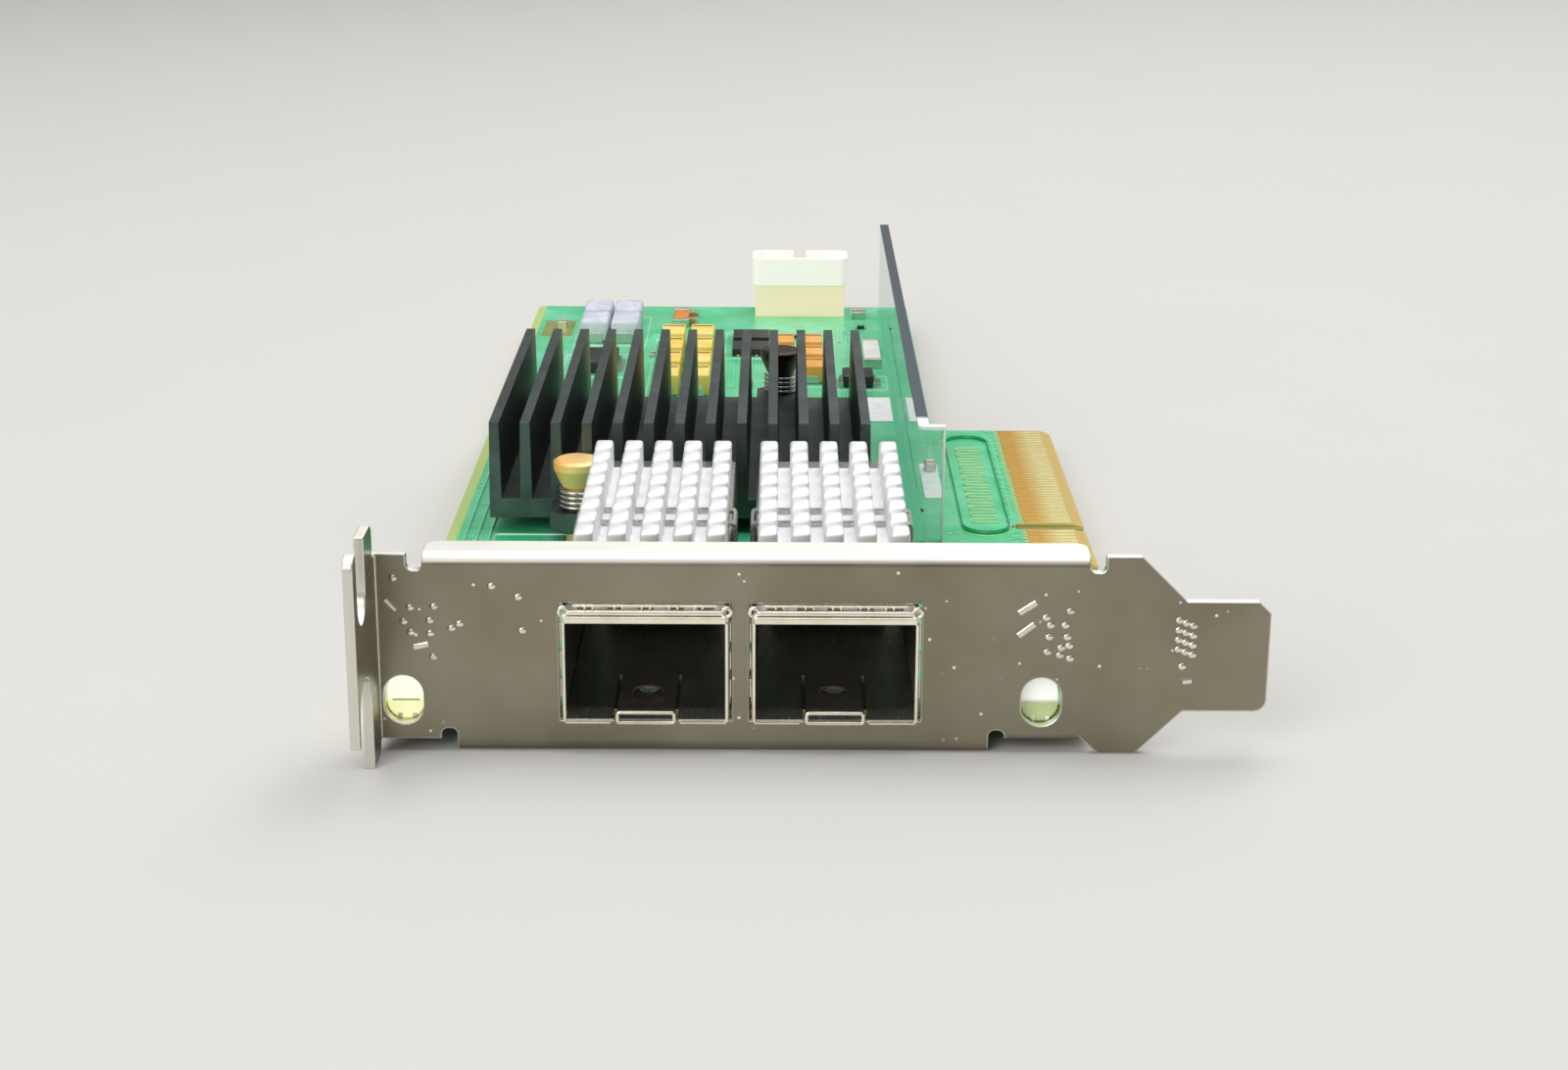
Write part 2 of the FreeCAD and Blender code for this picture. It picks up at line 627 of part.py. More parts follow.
def make_bracket():
    """Nickel-plated steel bracket: plate, flange, two stiffening lips and two ears."""
    body = new_node("bracket")
    plate = Profile(body, "XZ", 0)
    top_relief_floor = z.plate_height - z.top_relief_depth
    tongue_bottom = shoulder
    tongue_top = shoulder + z.tongue_width
    plate.outline([
        (0, ear_under),
        (ear_left_end, ear_under),
        (ear_left_end, z.low_relief_top),
        (z.low_lip_start, z.low_relief_top),
        (z.low_lip_start, 0),
        (low_lip_end, 0),
        (low_lip_end, z.low_relief_top),
        (ear_right_start, z.low_relief_top),
        (ear_right_start, ear_under),
        (ear_right_end, ear_under),
        (foot_start, 0),
        (shoulder_start, 0),
        (tongue_start, tongue_bottom),
        (z.bracket_length, tongue_bottom),
        (z.bracket_length, tongue_top),
        (tongue_start, tongue_top),
        (shoulder_start, z.plate_height),
        (top_lip_end + z.relief_width, z.plate_height),
        (top_lip_end + z.relief_width, top_relief_floor),
        (top_lip_end, top_relief_floor),
        (top_lip_end, z.plate_height),
        (z.top_lip_start, z.plate_height),
        (z.top_lip_start, top_relief_floor),
        (z.top_lip_start - z.relief_width, top_relief_floor),
        (z.top_lip_start - z.relief_width, z.plate_height),
        (0, z.plate_height),
    ])
    pad(plate, z.sheet)

    relief_corners = []
    for right in (z.top_lip_start, top_lip_end + z.relief_width):
        relief_corners.append({"x": right, "z": top_relief_floor})
        relief_corners.append({"x": right - z.relief_width, "z": top_relief_floor})
    for right in (z.low_lip_start, ear_right_start):
        relief_corners.append({"x": right, "z": z.low_relief_top})
        relief_corners.append({"x": right - z.relief_width, "z": z.low_relief_top})
    dress(body, "Fillet", z.relief_corner, "y", relief_corners)
    tongue_tip = [{"x": z.bracket_length, "z": tongue_bottom}]
    dress(body, "Fillet", z.tongue_corner, "y", tongue_tip)
    dress(body, "Chamfer", z.tongue_corner, "y", [{"x": z.bracket_length, "z": tongue_top}])

    flange = Profile(body, "YZ", 0)
    flange.outline([
        (-z.flange_depth, z.near_arm_bottom),
        (-z.screw_slot_middle, z.near_arm_bottom),
        (-z.screw_slot_middle, 0),
        (-z.lobe_start, 0),
        (0, ear_under),
        (z.sheet, ear_under),
        (z.sheet, z.plate_height),
        (-z.lobe_start, z.plate_height),
        (-z.lobe_start, flange_height),
        (-z.flange_depth, flange_height),
    ])
    pad(flange, z.sheet)

    folded = z.top_lip_depth - z.sheet
    top_lip = Profile(body, "XZ", z.sheet)
    top_lip.rectangle(z.top_lip_start, z.plate_height - z.sheet, top_lip_end, z.plate_height)
    pad(top_lip, folded)
    low_lip = Profile(body, "XZ", z.sheet)
    low_lip.rectangle(z.low_lip_start, 0, low_lip_end, z.sheet)
    pad(low_lip, z.low_lip_depth - z.sheet)
    ears = Profile(body, "XZ", z.sheet)
    ears.rectangle(z.sheet, ear_under, ear_left_end, z.board_underside)
    ears.rectangle(ear_right_start, ear_under, ear_right_end, z.board_underside)
    pad(ears, z.ear_depth - z.sheet)

    folds = [
        {"y": 0, "z": z.plate_height, "x": (z.top_lip_start + top_lip_end) / 2},
        {"y": 0, "z": 0, "x": (z.low_lip_start + low_lip_end) / 2},
    ]
    dress(body, "Fillet", z.bend_radius, "x", folds)
    ear_fold = {"y": 0, "z": ear_under, "x": (ear_right_end + ear_right_start) / 2}
    dress(body, "Fillet", z.sheet * 0.7, "x", [ear_fold])
    inner_folds = [
        {"y": z.sheet, "z": z.plate_height - z.sheet, "x": (z.top_lip_start + top_lip_end) / 2},
        {"y": z.sheet, "z": z.sheet, "x": (z.low_lip_start + low_lip_end) / 2},
    ]
    dress(body, "Fillet", z.bend_radius - z.sheet, "x", inner_folds)
    dress(body, "Fillet", z.bend_radius, "z", [{"x": 0, "y": z.sheet}])

    lobe_corners = [
        {"y": -z.lobe_start, "z": flange_height},
        {"y": -z.flange_depth, "z": flange_height},
    ]
    dress(body, "Fillet", z.tongue_corner, "x", lobe_corners)
    lip_rear = [
        {"x": z.top_lip_start, "y": z.top_lip_depth},
        {"x": top_lip_end, "y": z.top_lip_depth},
        {"x": ear_left_end, "y": z.ear_depth},
        {"x": ear_right_start, "y": z.ear_depth},
        {"x": ear_right_end, "y": z.ear_depth},
    ]
    dress(body, "Fillet", z.tongue_corner, "z", lip_rear)

    beyond = z.sheet * 2
    slot = Profile(body, "YZ", -z.sheet)
    slot_top = flange_height + z.screw_slot_width
    slot.obround(-z.screw_slot_middle, z.screw_slot_floor, slot_top, z.screw_slot_width)
    pocket(slot, z.sheet + beyond)
    notch = Profile(body, "YZ", -z.sheet)
    notch_low = -z.neighbour_notch_width
    notch.obround(-z.screw_slot_middle, notch_low, z.neighbour_notch_top, z.neighbour_notch_width)
    pocket(notch, z.sheet + beyond)

    windows = Profile(body, "XZ", -z.sheet)
    for lamp_x in (z.led_left_x, led_right_x):
        half = z.led_window_height / 2
        low = z.led_window_middle - half
        high = z.led_window_middle + half
        windows.obround(lamp_x, low, high, z.led_window_width)
    for middle in port_x.values():
        half = z.port_window_width / 2
        windows.rectangle(middle - half, z.port_window_floor, middle + half, z.port_window_top)
    pocket(windows, z.sheet + beyond)

    holes = Profile(body, "XY", ear_under - z.sheet)
    for screw_x in (z.screw_left_x, screw_right_x):
        holes.circle(screw_x, z.board_screw_y, z.board_screw_diameter / 2)
    pocket(holes, z.sheet + beyond)


def make_bracket_screws():
    """Two pan-head screws with cross recesses, through the board into the ears."""
    body = new_node("bracket_screws", z.screw_left_x, z.board_screw_y, board_top)
    shaft = z.board_screw_diameter / 2 - z.hole_clearance / 3
    tip = ear_under - z.screw_tip_below_ear - board_top
    head = z.board_screw_head_diameter / 2
    profile = Profile(body, "XZ", 0)
    profile.outline([
        (0, tip),
        (shaft * 0.75, tip),
        (shaft, tip + shaft * 0.25),
        (shaft, 0),
        (head, 0),
        (head, z.board_screw_head_height * 0.5),
        (head * 0.8, z.board_screw_head_height * 0.9),
        (head * 0.5, z.board_screw_head_height),
        (0, z.board_screw_head_height),
    ])
    screw = revolve(profile)
    arm = head * 0.55
    half = z.board_screw_slot / 2
    recess_depth = z.board_screw_head_height * 0.6
    cross = Profile(body, "XY", z.board_screw_head_height - recess_depth)
    cross.outline([
        (-arm, -half), (-half, -half), (-half, -arm), (half, -arm), (half, -half), (arm, -half),
        (arm, half), (half, half), (half, arm), (-half, arm), (-half, half), (-arm, half),
    ])
    recess = pocket(cross, z.board_screw_head_height)
    repeat(body, [screw, recess], "X", as_size(2), screw_right_x - z.screw_left_x)


# --------------------------------------------------------------------------- board


def make_board():
    """Printed circuit board with its edge connector tab and every plated hole."""
    body = new_node("circuit_board", 0, 0, z.board_underside)
    outline = Profile(body, "XY", 0)
    outline.outline([
        (z.board_left, board_front),
        (shoulder_right, board_front),
        (shoulder_right, z.shoulder_end),
        (shoulder_right - z.shoulder_step, z.shoulder_end),
        (shoulder_right - z.shoulder_step, tab_front),
        (tab_tip, tab_front),
        (tab_tip, key_front),
        (tab_tip - z.key_depth, key_front),
        (tab_tip - z.key_depth, key_rear),
        (tab_tip, key_rear),
        (tab_tip, tab_rear),
        (z.board_right, tab_rear),
        (z.board_right, board_rear),
        (z.board_left, board_rear),
    ])
    pad(outline, z.board_thickness)
    corners = [
        {"x": z.board_left, "y": board_rear},
        {"x": z.board_right, "y": board_rear},
        {"x": z.board_left, "y": board_front},
        {"x": shoulder_right, "y": board_front},
        {"x": shoulder_right, "y": z.shoulder_end},
        {"x": tab_tip - z.key_depth, "y": key_front},
        {"x": tab_tip - z.key_depth, "y": key_rear},
    ]
    dress(body, "Fillet", z.board_corner, "z", corners)

    beyond = z.bevel_length
    bevel = Profile(body, "XZ", tab_front - beyond)
    tip = tab_tip
    back = tab_tip - z.bevel_length
    high = z.board_thickness
    bevel.outline([(back, 0), (tip, 0), (tip, z.bevel_depth)])
    bevel.outline([(back, high), (tip, high - z.bevel_depth), (tip, high)])
    pocket(bevel, tab_rear - tab_front + beyond * 2)

    notches = Profile(body, "XY", -z.board_thickness)
    half_notch = z.lamp_width / 2 + z.lamp_notch_play
    notch_rear = z.lamp_front + z.lamp_lens_depth + z.lamp_notch_play
    for lamp_x in (z.led_left_x, led_right_x):
        notches.rectangle(lamp_x - half_notch, 0, lamp_x + half_notch, notch_rear)
    pocket(notches, z.board_thickness * 3)

    holes = Profile(body, "XY", -z.board_thickness)
    screw_hole = z.board_screw_diameter / 2 + z.hole_clearance
    for screw_x in (z.screw_left_x, screw_right_x):
        holes.circle(screw_x, z.board_screw_y, screw_hole)
    for pin_x, pin_y in push_pin_places.values():
        holes.circle(pin_x, pin_y, z.push_pin_shaft / 2 + z.hole_clearance)
    for peg_y in guard_peg_places:
        holes.circle(guard_peg_x, peg_y, z.guard_peg / 2 + z.hole_clearance)
    pocket(holes, z.board_thickness * 3)

    cage_holes = Profile(body, "XY", -z.board_thickness)
    reach = z.cage_pin_width / 2 + z.hole_clearance
    for middle in port_x.values():
        for side in (-1, 1):
            wall = middle + side * (half_cage - z.cage_sheet / 2)
            low = z.cage_pin_first - reach
            cage_holes.rectangle(wall - reach, low, wall + reach, low + reach * 2)
    row = pocket(cage_holes, z.board_thickness * 3)
    repeat(body, [row], "Y", z.cage_pin_count, z.cage_pin_pitch)

    tails = Profile(body, "XY", -z.board_thickness)
    reach = z.header_pin / 2 + z.hole_clearance
    for tail_y in header_rows:
        tails.rectangle(
            first_header_pin - reach, tail_y - reach, first_header_pin + reach, tail_y + reach
        )
    columns = pocket(tails, z.board_thickness * 3)
    repeat(body, [columns], "X", z.header_pin_count, z.header_pin_pitch)


def make_edge_contacts():
    """Plated contacts on both faces of the edge connector tab."""
    body = new_node("edge_contacts", 0, 0, z.board_underside)
    right = tab_tip - z.bevel_length
    left = right - z.contact_length
    groups = [
        (tab_front, z.tab_front_width, z.contacts_front),
        (key_rear, z.tab_rear_width, z.contacts_rear),
    ]
    for start, width, count in groups:
        margin = (width - (count - 1) * z.contact_pitch - z.contact_width) / 2
        pads = []
        for height in (-z.contact_plating, z.board_thickness):
            finger = Profile(body, "XY", height)
            finger.rectangle(left, start + margin, right, start + margin + z.contact_width)
            pads.append(pad(finger, z.contact_plating))
        repeat(body, pads, "Y", count, z.contact_pitch)


# --------------------------------------------------------------------------- cages


def make_cage_shell(side):
    """Folded cage: roof, two walls, rear wall, press-fit pins and heat-sink window."""
    body = new_node("cage_shell_" + side, port_x[side], 0, board_top)
    thin = z.cage_sheet
    top = z.cage_height
    section = Profile(body, "XZ", -z.cage_proud)
    section.outline([
        (-half_cage, 0), (-half_cage, top), (half_cage, top), (half_cage, 0),
        (half_cage - thin, 0), (half_cage - thin, top - thin),
        (thin - half_cage, top - thin), (thin - half_cage, 0),
    ])
    pad(section, z.cage_rear + z.cage_proud)
    rear = Profile(body, "XZ", z.cage_rear - thin)
    rear.rectangle(-half_cage, z.cage_rear_slot, half_cage, top)
    pad(rear, thin)
    outer = [{"x": half_cage, "z": top}, {"x": -half_cage, "z": top}]
    dress(body, "Fillet", z.cage_fold, "y", outer)

    window = Profile(body, "XY", top - thin * 2)
    half = z.roof_window_half
    window.rectangle(-half, z.roof_window_front, half, z.roof_window_rear)
    pocket(window, thin * 3)

    catches = []
    for wall in (-half_cage - z.lance_out, half_cage):
        lance = Profile(body, "YZ", wall)
        half_catch = z.pin_row_pitch / 2 - z.clip_arm
        low = lance_floor()
        lance.rectangle(clip_middle - half_catch, low, clip_middle + half_catch, low + z.lance_height)
        catches.append(pad(lance, z.lance_out))

    pins = []
    for wall in (-half_cage, half_cage - thin):
        pin = Profile(body, "YZ", wall)
        half_pin = z.cage_pin_width / 2
        middle = z.cage_pin_first
        pin.outline([
            (middle - half_pin, 0),
            (middle - half_pin, half_pin - z.cage_pin_length),
            (middle - half_pin * 0.4, -z.cage_pin_length),
            (middle + half_pin * 0.4, -z.cage_pin_length),
            (middle + half_pin, half_pin - z.cage_pin_length),
            (middle + half_pin, 0),
        ])
        pins.append(pad(pin, thin))
    repeat(body, pins, "Y", z.cage_pin_count, z.cage_pin_pitch)


def lance_floor():
    """Height of the catches on a cage's walls, above the board."""
    return z.cage_height - z.clip_drop + z.clip_window_height


def make_cage_floor(side):
    """Floor of a cage, with the sprung latch tongue and flared front edge."""
    body = new_node("cage_floor_" + side, port_x[side], 0, board_top)
    thin = z.cage_sheet
    half = half_cage - thin - z.floor_play
    front = -z.cage_proud
    plate = Profile(body, "XY", 0)
    plate.rectangle(-half, z.sheet, half, z.cage_floor_rear)
    pad(plate, thin)
    lip = Profile(body, "YZ", -half)
    lip.outline([
        (front, -z.floor_lip), (z.sheet, 0), (z.sheet, thin), (front, thin - z.floor_lip),
    ])
    pad(lip, half * 2)
    slits = Profile(body, "XY", -z.floor_lip - thin)
    inner = z.latch_width / 2
    outer = inner + z.latch_slit
    slits.rectangle(-outer, front - thin, -inner, z.latch_length)
    slits.rectangle(inner, front - thin, outer, z.latch_length)
    pocket(slits, z.floor_lip + thin * 3)
    catch = Profile(body, "XY", -thin)
    reach = z.latch_hole_y + z.latch_hole
    catch.outline([(0, z.latch_hole_y), (z.latch_hole / 2, reach), (-z.latch_hole / 2, reach)])
    pocket(catch, thin * 3)


def make_spring_collar(side):
    """Grounding collar: a thin band over the cage with arched fingers in the opening."""
    body = new_node("grounding_collar_" + side, port_x[side], 0, board_top)
    thin = z.spring_sheet
    top = z.cage_height
    band = Profile(body, "XZ", z.spring_band_front)
    wide = half_cage + thin
    band.outline([
        (-wide, 0), (-wide, top + thin), (wide, top + thin), (wide, 0),
        (half_cage, 0), (half_cage, top), (-half_cage, top), (-half_cage, 0),
    ])
    pad(band, z.spring_band_rear - z.spring_band_front)

    roof_gap = z.port_window_top - board_top - top - z.spring_play
    side_gap = z.port_window_width / 2 - half_cage - z.spring_play
    fingers_width = (z.spring_finger_count - 1) * z.spring_finger_pitch + z.spring_finger
    roof = Profile(body, "YZ", -fingers_width / 2)
    roof.outline(finger_outline(top, roof_gap))
    repeat(body, [pad(roof, z.spring_finger)], "X", z.spring_finger_count, z.spring_finger_pitch)

    side_width = (z.spring_side_count - 1) * z.spring_finger_pitch + z.spring_finger
    low = (top - side_width) / 2
    fingers = []
    for sense in (-1, 1):
        wall = Profile(body, "XY", low)
        points = finger_outline(half_cage, side_gap)
        wall.outline([(sense * out, along) for along, out in points])
        fingers.append(pad(wall, z.spring_finger))
    repeat(body, fingers, "Z", z.spring_side_count, z.spring_finger_pitch)


def finger_outline(seat, gap):
    """Side view of one sprung finger: distance behind the plate, distance from the cage's axis."""
    thin = z.spring_sheet
    crest_front = z.sheet * 0.1
    crest_rear = z.sheet
    return [
        (z.spring_band_front, seat),
        (crest_rear, seat + gap - thin),
        (crest_front, seat + gap - thin),
        (-z.spring_tip, seat),
        (-z.spring_tip, seat + thin),
        (crest_front, seat + gap),
        (crest_rear, seat + gap),
        (z.spring_band_front, seat + thin),
    ]


def make_host_connector(side):
    """Twenty-way surface-mount connector at the back of a cage."""
    body = new_node("host_connector_" + side, port_x[side], z.host_front, board_top)
    half = z.host_width / 2
    block = Profile(body, "YZ", -half)
    nose = z.host_height * 0.25
    block.outline([
        (0, 0), (z.host_depth, 0), (z.host_depth, z.host_height * 0.8),
        (z.host_depth - nose, z.host_height), (nose, z.host_height),
        (0, z.host_height - nose),
    ])
    pad(block, z.host_width)
    beyond = z.host_slot_height
    mouth = Profile(body, "XZ", -beyond)
    half_slot = z.host_slot_width / 2
    low = z.host_slot_floor
    mouth.rectangle(-half_slot, low, half_slot, low + z.host_slot_height)
    pocket(mouth, z.host_slot_depth + beyond)


def make_host_leads(side):
    """Two rows of gull-wing leads under the connector, front and rear."""
    body = new_node("host_leads_" + side, port_x[side], z.host_front, board_top)
    row = (z.host_lead_count - 1) * z.host_lead_pitch + z.host_lead_width
    thin = z.host_lead_width
    leads = []
    for face, sense in ((0, -1), (z.host_depth, 1)):
        face = as_size(face)
        lead = Profile(body, "YZ", -row / 2)
        foot = face + sense * z.host_lead_foot
        lead.outline([
            (face, 0), (foot, 0), (foot, thin),
            (face + sense * thin, thin), (face + sense * thin, thin * 4), (face, thin * 4),
        ])
        leads.append(pad(lead, z.host_lead_width))
    repeat(body, leads, "X", z.host_lead_count, z.host_lead_pitch)


# --------------------------------------------------------------------------- cage heat sinks


def make_pin_sink(side):
    """Extruded and cross-cut heat sink that rides on a cage and touches the module in it."""
    body = new_node("cage_heat_sink_" + side, port_x[side], pin_sink_front, board_top + z.cage_height)
    half = pin_sink_width / 2
    base = Profile(body, "XZ", 0)
    base.rectangle(-half, 0, half, z.pin_base)
    pad(base, pin_sink_length)
    window_front = z.roof_window_front - pin_sink_front
    window_rear = z.roof_window_rear - pin_sink_front
    half_pedestal = z.roof_window_half - z.pedestal_play
    pedestal = Profile(body, "XY", -z.cage_sheet - z.pedestal_drop)
    pedestal.rectangle(
        -half_pedestal, window_front + z.pedestal_play,
        half_pedestal, window_rear - z.pedestal_play,
    )
    pad(pedestal, z.cage_sheet + z.pedestal_drop)

    pin_top = z.pin_base + z.pin_height
    fin = Profile(body, "XZ", 0)
    fin.rectangle(-half, z.pin_base, -half + z.pin_size, pin_top)
    repeat(body, [pad(fin, pin_sink_length)], "X", z.pin_columns, z.pin_pitch)
    crests = []
    for column in range(int(z.pin_columns.value)):
        left = -half + column * z.pin_pitch
        crests.append({"x": left, "z": pin_top})
        crests.append({"x": left + z.pin_size, "z": pin_top})
    dress(body, "Chamfer", z.pin_round, "y", crests)
    cross_cut = Profile(body, "XY", z.pin_base)
    cross_cut.rectangle(-half * 1.1, z.pin_row_length, half * 1.1, z.pin_row_pitch)
    repeat(body, [pocket(cross_cut, z.pin_height * 2)], "Y", z.pin_rows - 1, z.pin_row_pitch)


def make_sink_clip(side):
    """Spring-steel clip: two arms in the gaps between rows of pins, hooked on the cage's walls."""
    half_length = z.pin_row_pitch / 2 + z.clip_arm / 2
    body = new_node("heat_sink_clip_" + side, port_x[side], clip_middle, board_top + z.cage_height)
    thin = z.clip_sheet
    inner = half_cage + z.clip_play
    outer = inner + thin
    section = Profile(body, "XZ", -half_length)
    section.outline([
        (-outer, -z.clip_drop), (-outer, z.pin_base + thin), (outer, z.pin_base + thin),
        (outer, -z.clip_drop), (inner, -z.clip_drop), (inner, z.pin_base),
        (-inner, z.pin_base), (-inner, -z.clip_drop),
    ])
    pad(section, half_length * 2)
    folds = [{"x": outer, "z": z.pin_base + thin}, {"x": -outer, "z": z.pin_base + thin}]
    dress(body, "Fillet", z.clip_sheet * 1.5, "y", folds)
    between = Profile(body, "XY", 0)
    half_gap = half_length - z.clip_arm
    between.rectangle(-inner, -half_gap, inner, half_gap)
    pocket(between, z.pin_base + thin * 2)
    window = Profile(body, "YZ", -outer * 1.1)
    low = z.clip_window_height - z.clip_drop - z.lance_height * 0.15
    window.rectangle(-half_gap, low, half_gap, low + z.clip_window_height)
    pocket(window, outer * 2.2)


# --------------------------------------------------------------------------- main heat sink


def make_main_sink():
    """Black extruded heat sink: base, straight fins along the card and two lugs."""
    body = new_node("main_heat_sink", z.sink_left, z.sink_front, z.sink_base_bottom)
    base = Profile(body, "XY", 0)
    base.rectangle(0, 0, sink_width, z.sink_length)
    pad(base, z.sink_base)
    lugs = Profile(body, "XY", 0)
    radius = z.lug_radius
    for name, (pin_x, pin_y) in push_pin_places.items():
        lug_x = pin_x - z.sink_left
        lug_y = pin_y - z.sink_front
        edge = as_size(0) if name == "front" else z.sink_length
        inward = 1 if name == "front" else -1
        rooted = edge + inward * radius / 2
        near = radius * 0.42
        lugs.outline([
            (lug_x - radius, rooted), (lug_x - radius, lug_y - inward * near),
            (lug_x - near, lug_y - inward * radius), (lug_x + near, lug_y - inward * radius),
            (lug_x + radius, lug_y - inward * near), (lug_x + radius, rooted),
        ])
    pad(lugs, z.sink_base)
    holes = Profile(body, "XY", -z.sink_base)
    for pin_x, pin_y in push_pin_places.values():
        hole = z.push_pin_shaft / 2 + z.hole_clearance
        holes.circle(pin_x - z.sink_left, pin_y - z.sink_front, hole)
    pocket(holes, z.sink_base * 3)
    fin = Profile(body, "XZ", 0)
    fin_height = z.sink_top - sink_base_top
    fin.outline([
        (0, z.sink_base), (z.fin_thickness, z.sink_base),
        (z.fin_thickness * 0.9, z.sink_base + fin_height),
        (z.fin_thickness * 0.1, z.sink_base + fin_height),
    ])
    repeat(body, [pad(fin, z.sink_length)], "X", z.fin_count, z.fin_pitch)


def chip_corner():
    """Front left corner of the controller, centred under the main heat sink."""
    x = z.sink_left + (sink_width - z.chip_size) / 2
    y = z.sink_front + (z.sink_length - z.chip_size) / 2
    return x, y


def make_controller():
    """Controller in a ball-grid package: substrate with a smaller moulded cap."""
    x, y = chip_corner()
    body = new_node("controller_chip", x, y, board_top)
    substrate = Profile(body, "XY", 0)
    substrate.rectangle(0, 0, z.chip_size, z.chip_size)
    pad(substrate, z.chip_substrate)
    inset = (z.chip_size - z.chip_cap_size) / 2
    cap = Profile(body, "XY", z.chip_substrate)
    cap.rectangle(inset, inset, z.chip_size - inset, z.chip_size - inset)
    pad(cap, z.chip_height - z.chip_substrate)


def make_thermal_pad():
    """Soft pad that fills the gap between the controller and the heat sink."""
    x, y = chip_corner()
    inset = (z.chip_size - z.chip_cap_size) / 2
    bottom = board_top + z.chip_height
    body = new_node("thermal_pad", x + inset, y + inset, bottom)
    sheet = Profile(body, "XY", 0)
    sheet.rectangle(0, 0, z.chip_cap_size, z.chip_cap_size)
    pad(sheet, z.sink_base_bottom - bottom)


def make_push_pin(which):
    """Turned push pin with a flared head and a split barb under the board."""
    x, y = push_pin_places[which]
    body = new_node("push_pin_" + which, x, y, 0)
    shaft = z.push_pin_shaft / 2
    head = z.push_pin_head / 2
    barb = z.push_pin_barb / 2
    neck = z.push_pin_top - z.push_pin_head_height
    shoulder_z = z.board_underside - z.hole_clearance
    profile = Profile(body, "XZ", 0)
    profile.outline([
        (0, z.push_pin_tip),
        (shaft * 0.6, z.push_pin_tip),
        (barb, shoulder_z - z.push_pin_land),
        (barb, shoulder_z),
        (shaft, shoulder_z),
        (shaft, neck),
        (shaft * 1.25, neck),
        (head, z.push_pin_top - z.push_pin_rim),
        (head, z.push_pin_top - z.push_pin_bevel_height),
        (head - z.push_pin_bevel, z.push_pin_top),
        (0, z.push_pin_top),
    ])
    revolve(profile)
    split = Profile(body, "XZ", -barb * 1.2)
    half = z.push_pin_split / 2
    split.rectangle(-half, 0, half, board_top)
    pocket(split, barb * 2.4)


def make_push_pin_spring(which):
    """Compression spring between a lug and the head of its push pin."""
    x, y = push_pin_places[which]
    wire = z.coil_wire / 2
    low = sink_base_top + wire
    high = z.push_pin_top - z.push_pin_head_height - wire
    body = new_node("push_pin_spring_" + which, x, y, low)
    middle = z.coil_diameter / 2
    half = wire / 2
    flat = wire * 0.866
    section = Profile(body, "XZ", 0)
    section.outline([
        (middle + wire, 0), (middle + half, flat), (middle - half, flat),
        (middle - wire, 0), (middle - half, -flat), (middle + half, -flat),
    ])
    coil = new_feature(body, "AdditiveHelix")
    coil.Profile = section.sketch
    coil.ReferenceAxis = (origin_feature(body, "Z_Axis"), [""])
    coil.Mode = "height-turns-angle"
    bind(coil, "Height", high - low)
    bind(coil, "Turns", z.coil_turns)
    refresh(section.sketch, coil)


# --------------------------------------------------------------------------- lamps and header


def make_lamp(side):
    """Right-angle lamp: a domed lens, its housing and two solder feet in one moulding."""
    middle = z.led_left_x if side == "left" else led_right_x
    body = new_node("status_lamp_" + side, middle, z.lamp_front, board_top)
    lens = Profile(body, "XZ", 0)
    lens.obround(0, -z.lamp_drop, z.lamp_height, z.lamp_width)
    pad(lens, z.lamp_lens_depth)
    half = z.lamp_width / 2
    housing = Profile(body, "XZ", z.lamp_lens_depth)
    housing.rectangle(-half, 0, half, z.lamp_body_height)
    pad(housing, z.lamp_body_depth)
    feet = Profile(body, "XY", 0)
    depth = z.lamp_lens_depth + z.lamp_body_depth
    thin = z.lamp_foot / 4
    feet.rectangle(-half - thin, depth - z.lamp_foot, -half, depth)
    feet.rectangle(half, depth - z.lamp_foot, half + thin, depth)
    pad(feet, z.lamp_foot)


def make_header():
    """Upright shrouded header at the rear edge of the board, on a narrower base."""
    body = new_node("rear_header", z.header_left, header_front, board_top)
    wide = z.header_width
    deep = z.header_depth
    inset = z.header_base_inset
    base = Profile(body, "XY", 0)
    base.rectangle(inset, inset, wide - inset, deep - inset)
    pad(base, z.header_base_height)
    shroud = Profile(body, "XY", z.header_base_height)
    shroud.rectangle(0, 0, wide, deep)
    pad(shroud, z.header_height - z.header_base_height)
    corners = [{"x": x, "y": y} for x in (0, wide) for y in (0, deep)]
    dress(body, "Fillet", z.header_corner, "z", corners)
    wall = z.header_wall
    cavity = Profile(body, "XY", z.header_height - z.header_cavity_depth)
    cavity.rectangle(wall, wall, wide - wall, deep - wall)
    pocket(cavity, z.header_height)
    key = Profile(body, "XY", z.header_base_height)
    key.rectangle(wide / 2 - wall, deep - wall * 1.5, wide / 2 + wall, deep + wall)
    pocket(key, z.header_height)
    passages = Profile(body, "XY", 0)
    first = first_header_pin - z.header_left
    half = z.header_pin / 2
    for row in header_rows:
        middle = row - header_front
        passages.rectangle(first - half, middle - half, first + half, middle + half)
    cut = pocket(passages, z.header_height)
    repeat(body, [cut], "X", z.header_pin_count, z.header_pin_pitch)


def make_header_pins():
    """Straight square pins of the rear header, soldered through the board."""
    foot = board_top - z.board_thickness - z.header_tail
    body = new_node("rear_header_pins", 0, 0, foot)
    pins = Profile(body, "XY", 0)
    half = z.header_pin / 2
    left = first_header_pin - half
    for row in header_rows:
        pins.rectangle(left, row - half, left + z.header_pin, row + half)
    pair = pad(pins, board_top + z.header_pin_top - foot)
    repeat(body, [pair], "X", z.header_pin_count, z.header_pin_pitch)


# --------------------------------------------------------------------------- parts on the board


